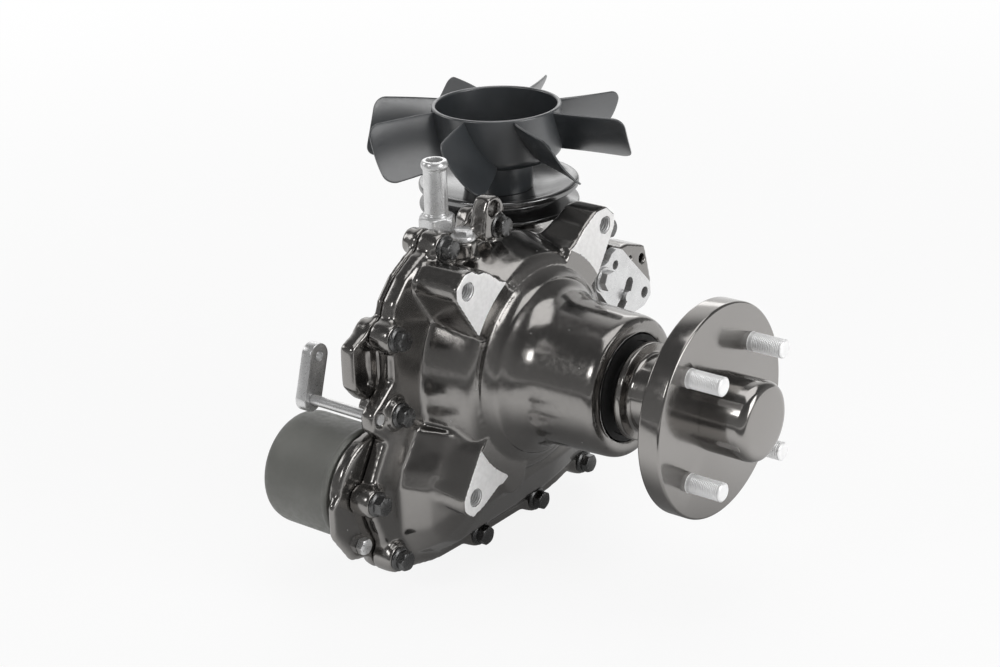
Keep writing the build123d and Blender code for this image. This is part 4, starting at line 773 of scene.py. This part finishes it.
def skin_of(node_name, pitch):
    """A copy of a model node's mesh, merged, then remeshed at a pitch in metres."""
    mesh, shape = copy_of(node_name)
    shape.to_mesh(mesh)
    shape.free()
    carrier = bpy.data.objects.new("carrier", mesh)
    bpy.context.scene.collection.objects.link(carrier)
    remesh = carrier.modifiers.new("skin", "REMESH")
    remesh.mode, remesh.voxel_size, remesh.adaptivity = "VOXEL", pitch, 0.0
    skin = applied(carrier)
    bpy.data.objects.remove(carrier)
    return skin


def thinned(mesh, limit):
    """The mesh with at most a number of triangles, by edge collapse where it is flattest."""
    triangles = sum(len(p.vertices) - 2 for p in mesh.polygons)
    if triangles <= limit:
        return mesh
    carrier = bpy.data.objects.new("carrier", mesh)
    bpy.context.scene.collection.objects.link(carrier)
    collapse = carrier.modifiers.new("thin", "DECIMATE")
    collapse.ratio = limit / triangles
    result = applied(carrier)
    bpy.data.objects.remove(carrier)
    return result


# %% Points as arrays


def points_of(mesh):
    """The mesh's points as an array."""
    co = np.empty(len(mesh.vertices) * 3, np.float32)
    mesh.vertices.foreach_get("co", co)
    return co.reshape(-1, 3).astype(float)


def normals_of(mesh):
    """The mesh's point normals as an array."""
    data = np.empty(len(mesh.vertices) * 3, np.float32)
    mesh.vertex_normals.foreach_get("vector", data)
    return data.reshape(-1, 3).astype(float)


def set_points(mesh, points):
    """Puts the points back into the mesh."""
    mesh.vertices.foreach_set("co", points.astype(np.float32).ravel())
    mesh.update()


# %% Relaxing
RELAX_STEP = 0.5


def relax(mesh, rounds, share=None):
    """Moves each point towards the mean of its neighbours, some rounds over. share holds a number
    from 0 to 1 for each point, which makes its steps smaller."""
    ends = np.empty(len(mesh.edges) * 2, np.int32)
    mesh.edges.foreach_get("vertices", ends)
    a, b = ends.reshape(-1, 2).T
    points = points_of(mesh)
    count = np.bincount(a, minlength=len(points)) + np.bincount(b, minlength=len(points))
    pace = RELAX_STEP if share is None else RELAX_STEP * share[:, None]
    for _ in range(rounds):
        total = np.empty_like(points)
        for k in range(3):
            from_b = np.bincount(a, points[b, k], len(points))
            total[:, k] = from_b + np.bincount(b, points[a, k], len(points))
        points += pace * (total / count[:, None] - points)
    set_points(mesh, points)


# %% [markdown]
# ## Machined places on the outer casing
# The horn was turned on a lathe, so its true line is a profile again. The four mounting pads
# are milled flat on one plane, each with a threaded hole. Points of the skin that lie near one
# of these are pulled onto it, the less the further off they are, so that no step shows.

# %% The turned horn and the pads
PAD_X = -142.0
PAD_HOLE_Y, PAD_HOLE_Z, PAD_MIDDLE_Z = 75.5, 73.0, 3.0
PAD_HOLE_R, PAD_HOLE_BOTTOM = 6.1, -166.5
PAD_HOLES = [(sy * PAD_HOLE_Y, PAD_MIDDLE_Z + sz * PAD_HOLE_Z) for sy in (-1, 1) for sz in (-1, 1)]
HORN_FROM, HORN_TO = -149.0, -67.6
horn_corners = [(-157, 78.6), (-150, 77, 2.0), (-146.5, 75.2, 1.5), (-143.8, 72, 2.0), (-142, 67, 2.0),
                (-139.5, 63.4, 1.2), (-136.5, 60.6, 1.0), (-134.4, 59.8, 0.8), (-132.8, 58, 1.2),
                (-130, 54.8, 2.0), (-126, 52.4, 2.5), (-118, 50, 4.0), (-73, 48, 4.0), (-69.2, 47.1, 1.6),
                (-67.0, 44.7, 1.2), (-67.0, 36)]
horn_line = soft_profile(horn_corners, 1.0)
horn_line = horn_line[np.argsort(horn_line[:, 0], kind="stable")]
print("horn line points:", len(horn_line))

# %% Putting machined faces back
HORN_PULL, PAD_PULL = (1.0, 2.0), (0.5, 0.9)
HOLE_REACH = 7.2
AWAY_FROM_AXIS = 0.05
FACING_X, SIDEWAYS = 0.9, 0.8
TINY = 1e-6


def pulled(value, target, near, far):
    """value moved onto target where it is within near of it, fading to none at far."""
    gap = np.abs(value - target)
    weight = np.clip((far - gap) / (far - near), 0, 1)
    return value + (target - value) * weight * weight * (3 - 2 * weight)


def true_up_horn(points, normals):
    """Puts the turned horn on its circles, the pads on their plane and the pad holes on theirs."""
    x, y, z = (points / MM).T
    r = np.hypot(y, z)
    outward = (normals[:, 1] * y + normals[:, 2] * z) / np.maximum(r, TINY)
    wanted = np.interp(x, horn_line[:, 0], horn_line[:, 1])
    on_horn = (x > HORN_FROM) & (x < HORN_TO) & (outward > AWAY_FROM_AXIS)
    new_r = np.where(on_horn, pulled(r, wanted, *HORN_PULL), r)
    y, z = y * new_r / np.maximum(r, TINY), z * new_r / np.maximum(r, TINY)
    facing = normals[:, 0] > FACING_X
    x = np.where(facing, pulled(x, PAD_X, *PAD_PULL), x)
    for cy, cz in PAD_HOLES:
        reach = np.hypot(y - cy, z - cz)
        inside = (reach < HOLE_REACH) & (x > PAD_HOLE_BOTTOM) & (np.abs(normals[:, 0]) < SIDEWAYS)
        share = np.where(inside, PAD_HOLE_R / np.maximum(reach, TINY), 1.0)
        y, z = cy + (y - cy) * share, cz + (z - cz) * share
    return np.stack([x, y, z], 1) * MM


# %% Where the pads are bare
CLEAR_OF_COLLAR_R = 78.2
CLEAR_OF_MIDDLE = 33.0
PLANE_DEPTH, PLANE_WEIGHT = 0.35, 4
SLANT_FROM, SLANT_TO, SLANT_SHIFT = np.array([41.7, -66.7]), np.array([69.7, -81.2]), 1.5
NO_LIMIT = 9.0


def bare_distance(points):
    """How far a point is inside the machined pads, in mm: beyond the collar's circle, on the pad
    plane, off the middle, and on the arm's side of a slanting line on the lower pads."""
    x, y, z = (points / MM).T
    beyond = np.hypot(y, z) - CLEAR_OF_COLLAR_R
    on_plane = PLANE_DEPTH - np.abs(x - PAD_X)
    along = (SLANT_TO - SLANT_FROM) / np.linalg.norm(SLANT_TO - SLANT_FROM)
    slanting = (np.abs(y) - SLANT_FROM[0]) * -along[1] + (z - SLANT_FROM[1]) * along[0]
    lower = np.where(z < 0, slanting + SLANT_SHIFT, NO_LIMIT)
    arms = np.abs(y) - CLEAR_OF_MIDDLE
    return np.minimum.reduce([beyond, on_plane * PLANE_WEIGHT, lower, arms])


# %% Outer casing
CAST_SHARP = 60.0
RELAX_ROUNDS = 6
OUTER_PITCH, OUTER_TRIANGLES = 1.45, 195000
outer_skin = skin_of("horn_housing", OUTER_PITCH * MM)
relax(outer_skin, RELAX_ROUNDS)
print("outer skin points:", len(outer_skin.vertices))
outer_skin = thinned(outer_skin, OUTER_TRIANGLES)
set_points(outer_skin, true_up_horn(points_of(outer_skin), normals_of(outer_skin)))
bare = outer_skin.attributes.new("bare", "FLOAT", "POINT")
bare.data.foreach_set("value", bare_distance(points_of(outer_skin)).astype(np.float32))
dress("casing_outer_cast", outer_skin, "casing_paint", "casing", sharp=CAST_SHARP,
      stands_for=["horn_housing"])

# %% [markdown]
# ## Inner casing
# Behind the flange the inner casing is a plain drive box, whose cast corners are rounder than
# those of the flange. So its skin is relaxed many more rounds, but only on the box: the seat of
# the input shaft and the boss of the drain plug keep their shapes.

# %% Inner casing
DRAIN = (66.0, -96.0)
BOX_FROM, BOX_FADE = -214.0, 8.0
SEAT_KEEP_R, SEAT_FROM_Z = 36.0, 45.0
PLUG_KEEP_R, KEEP_FADE = 11.0, 5.0
BOX_ROUNDS = 45
INNER_PITCH, INNER_TRIANGLES = 1.7, 150000


def drive_box_share(points):
    """1 on the drive box behind the flange, whose corners are rounder, fading to 0 near the
    flange, round the input shaft's seat and round the drain plug."""
    x, y, z = (points / MM).T
    behind = np.clip((BOX_FROM - x) / BOX_FADE, 0, 1)
    seat = np.clip((np.hypot(x - INPUT[0], y - INPUT[1]) - SEAT_KEEP_R) / KEEP_FADE, 0, 1)
    boss = np.clip((np.hypot(y - DRAIN[0], z - DRAIN[1]) - PLUG_KEEP_R) / KEEP_FADE, 0, 1)
    return behind * np.where(z > SEAT_FROM_Z, seat, 1.0) * boss


inner_skin = skin_of("inboard_housing", INNER_PITCH * MM)
relax(inner_skin, RELAX_ROUNDS)
relax(inner_skin, BOX_ROUNDS, share=drive_box_share(points_of(inner_skin)))
inner_skin = thinned(inner_skin, INNER_TRIANGLES)
dress("casing_inner_cast", inner_skin, "casing_paint", "casing", sharp=CAST_SHARP,
      stands_for=["inboard_housing"])
print("castings:", len(outer_skin.polygons), len(inner_skin.polygons))

# %% [markdown]
# ## Threads in the mounting pads
# The pad holes are tapped. An inside thread is the same screw surface as on a stud with its
# faces turned round, so that they point into the hole.

# %% Threads in the mounting pads
PAD_THREAD_R, PAD_THREAD_DEPTH, PAD_THREAD_PITCH = 6.0, 0.9, 2.0
pad_thread = screw_surface(-165.8, PAD_X - 0.6, PAD_THREAD_R, PAD_THREAD_DEPTH, PAD_THREAD_PITCH,
                           segments=48, fade=0.6)
thread_verts, thread_faces = join_surfaces([as_surface(pad_thread, "x", place) for place in PAD_HOLES])
thread_mesh = bpy.data.meshes.new("pad_threads")
thread_mesh.from_pydata(thread_verts.tolist(), [], thread_faces[:, ::-1].tolist())
dress("pad_threads", thread_mesh, "thread_steel", "casing", slot="casing_paint", sharp=CAST_SHARP)
print("pad thread faces:", len(thread_faces))

# %% [markdown]
# ## Floor
# The photograph was taken on a white table. The floor is white to the camera and keeps a faint share of the
# object's shadow. Gloss black has hardly any colour of its own: what shows in it is the table and the room.
# So in reflections the floor is white round the object, darker under it by a painted shadow (an oval round
# the object's footprint), nearly black past the table's front edge, and half bright again far in front. Where
# it is dark there, its colour is painted dark too, as painted shade, because a lit white floor would still
# shine.

# %% Floor
FLOOR_Z = cad_low.z
FLOOR_HALF = 8
FLOOR_GREY, FLOOR_ROUGHNESS = 0.9, 0.7
FLOOR_SIGNS = ((-1, -1), (1, -1), (1, 1), (-1, 1))
floor_corners = [(sx * FLOOR_HALF, sy * FLOOR_HALF, FLOOR_Z) for sx, sy in FLOOR_SIGNS]
floor_mesh = bpy.data.meshes.new("floor")
floor_mesh.from_pydata(floor_corners, [], [(0, 1, 2, 3)])
floor = bpy.data.objects.new("floor", floor_mesh)
bpy.context.scene.collection.objects.link(floor)
floor_paint = bpy.data.materials.new("white_sweep")
floor_paint.use_nodes = True
floor_mesh.materials.append(floor_paint)
print("floor at, m:", round(FLOOR_Z, 4))

# %% Where reflections see the table, with a painted shadow under the object
TO_FRONT = (0.62, -0.78, 0)
TABLE_EDGE, PAST_EDGE = (0.26, 0.42), 0.08
FAR_FLOOR, FAR_STRENGTH = (0.8, 1.7), 0.55
SHADOW_OVAL_SCALE, SHADOW_OVAL_SHIFT = (4.2, 6.0, 0), (0.4, 0, 0)
PAINTED_SHADOW_FADE, PAINTED_SHADOW_STRENGTH = (0.4, 1.5), 0.15
tree = floor_paint.node_tree
floor_place = add(tree, "ShaderNodeTexCoord").outputs["Object"]
front = vector_node(tree, "DOT_PRODUCT", "Value", floor_place, TO_FRONT)
near_table = span(tree, front, *TABLE_EDGE, 1.0, PAST_EDGE)
far_floor = span(tree, front, *FAR_FLOOR, 0.0, FAR_STRENGTH)
# Painted shadow: an oval round the object's footprint dims the floor in reflections and stands in for the
# object's shadow on the table.
painted_shadow_oval = vector_node(tree, "MULTIPLY_ADD", "Vector", floor_place, SHADOW_OVAL_SCALE, SHADOW_OVAL_SHIFT)
painted_shadow_reach = vector_node(tree, "LENGTH", "Value", painted_shadow_oval)
table_and_shadow = math_node(tree, "MAXIMUM", near_table, far_floor)
table_and_shadow = math_node(tree, "MULTIPLY", table_and_shadow, span(tree, painted_shadow_reach, *PAINTED_SHADOW_FADE, PAINTED_SHADOW_STRENGTH, 1.0))

# %% White to the camera and in those reflections
SHADOW_FADE, WHITE_SHARE = (0.5, 2.0), 0.88
path = add(tree, "ShaderNodeLightPath")
glossy = path.outputs["Is Glossy Ray"]
shader = tree.nodes["Principled BSDF"]
shader.inputs["Roughness"].default_value = FLOOR_ROUGHNESS
# Painted shade: for reflections the floor's colour turns black past the table's edge and in the painted
# shadow under the object.
painted_dark_share = math_node(tree, "MULTIPLY", glossy, math_node(tree, "SUBTRACT", 1.0, table_and_shadow))
plug(tree, shader.inputs["Base Color"], blend_colour(tree, painted_dark_share, grey(FLOOR_GREY), grey(0.0)))
glow = add(tree, "ShaderNodeEmission", {"Color": (1, 1, 1, 1), "Strength": 1.0})
seen = math_node(tree, "MAXIMUM", path.outputs["Is Camera Ray"], math_node(tree, "MULTIPLY", glossy, table_and_shadow))
seen = math_node(tree, "MAXIMUM", seen, path.outputs["Is Transmission Ray"])
away = vector_node(tree, "LENGTH", "Value", floor_place)
white = math_node(tree, "MULTIPLY", seen, span(tree, away, *SHADOW_FADE, WHITE_SHARE, 1.0))
both = add(tree, "ShaderNodeMixShader", {0: white, 1: shader.outputs[0], 2: glow.outputs[0]})
plug(tree, tree.nodes["Material Output"].inputs["Surface"], both.outputs[0])
print("floor nodes:", len(tree.nodes))

# %% [markdown]
# ## Surround
# The surround is white to the camera. To everything else it is a dim room, darker overhead,
# with the white backdrop behind the object.

# %% Surround
ROOM_HEIGHT, ROOM_LOW, ROOM_HIGH = (0.0, 0.8), 0.24, 0.1
TO_BACKDROP, BACKDROP_EDGE = (-0.62, 0.77, 0.12), (0.55, 0.9)
world = bpy.data.worlds.new("surround")
bpy.context.scene.world = world
world.use_nodes = True
tree = world.node_tree
direction = add(tree, "ShaderNodeTexCoord").outputs["Generated"]
height = add(tree, "ShaderNodeSeparateXYZ", {0: direction}).outputs["Z"]
room = span(tree, height, *ROOM_HEIGHT, ROOM_LOW, ROOM_HIGH)
behind = vector_node(tree, "DOT_PRODUCT", "Value", direction, TO_BACKDROP)
room = math_node(tree, "MAXIMUM", room, span(tree, behind, *BACKDROP_EDGE))
path = add(tree, "ShaderNodeLightPath")
sky = tree.nodes["Background"]
sky.inputs["Color"].default_value = (1, 1, 1, 1)
plug(tree, sky.inputs["Strength"], math_node(tree, "MAXIMUM", path.outputs["Is Camera Ray"], room))
print("surround nodes:", len(tree.nodes))

# %% [markdown]
# ## Lamps
# Softboxes stand round the table: one behind, one overhead, a small bright one in front for
# the highlights, and one at each side. The fill lamp lights the hub's side and the pads
# evenly. It is hidden from reflections, where it would be a white patch on the paint.

# %% Lamps
MIDDLE = (-0.12, 0.0, 0.0)


def softbox(name, place, width, height, radiance):
    """A rectangular lamp at place, facing the object, whose face has this radiance."""
    data = bpy.data.lights.new(name, "AREA")
    data.shape = "RECTANGLE"
    data.size, data.size_y = width, height
    data.energy = radiance * math.pi * width * height
    lamp = bpy.data.objects.new(name, data)
    facing = (Vector(MIDDLE) - Vector(place)).to_track_quat("-Z", "Y")
    lamp.matrix_world = Matrix.Translation(place) @ facing.to_matrix().to_4x4()
    bpy.context.scene.collection.objects.link(lamp)
    return lamp


softbox("back_softbox", (-1.0, 1.35, 0.7), 1.2, 0.3, 1.5)
softbox("top_softbox", (0.0, 0.2, 1.6), 1.3, 1.3, 1.7)
softbox("key_softbox", (-0.5, -1.5, 1.0), 0.4, 0.4, 7.0)
softbox("left_softbox", (-1.6, -0.5, 0.8), 0.6, 0.6, 2.6)
softbox("side_softbox", (1.5, 0.2, 0.6), 0.8, 1.0, 3.6)
fill = softbox("fill_softbox", (1.5, -0.5, 0.5), 1.2, 1.2, 2.1)
fill.visible_glossy = False
print("lamps:", len(bpy.data.lights))
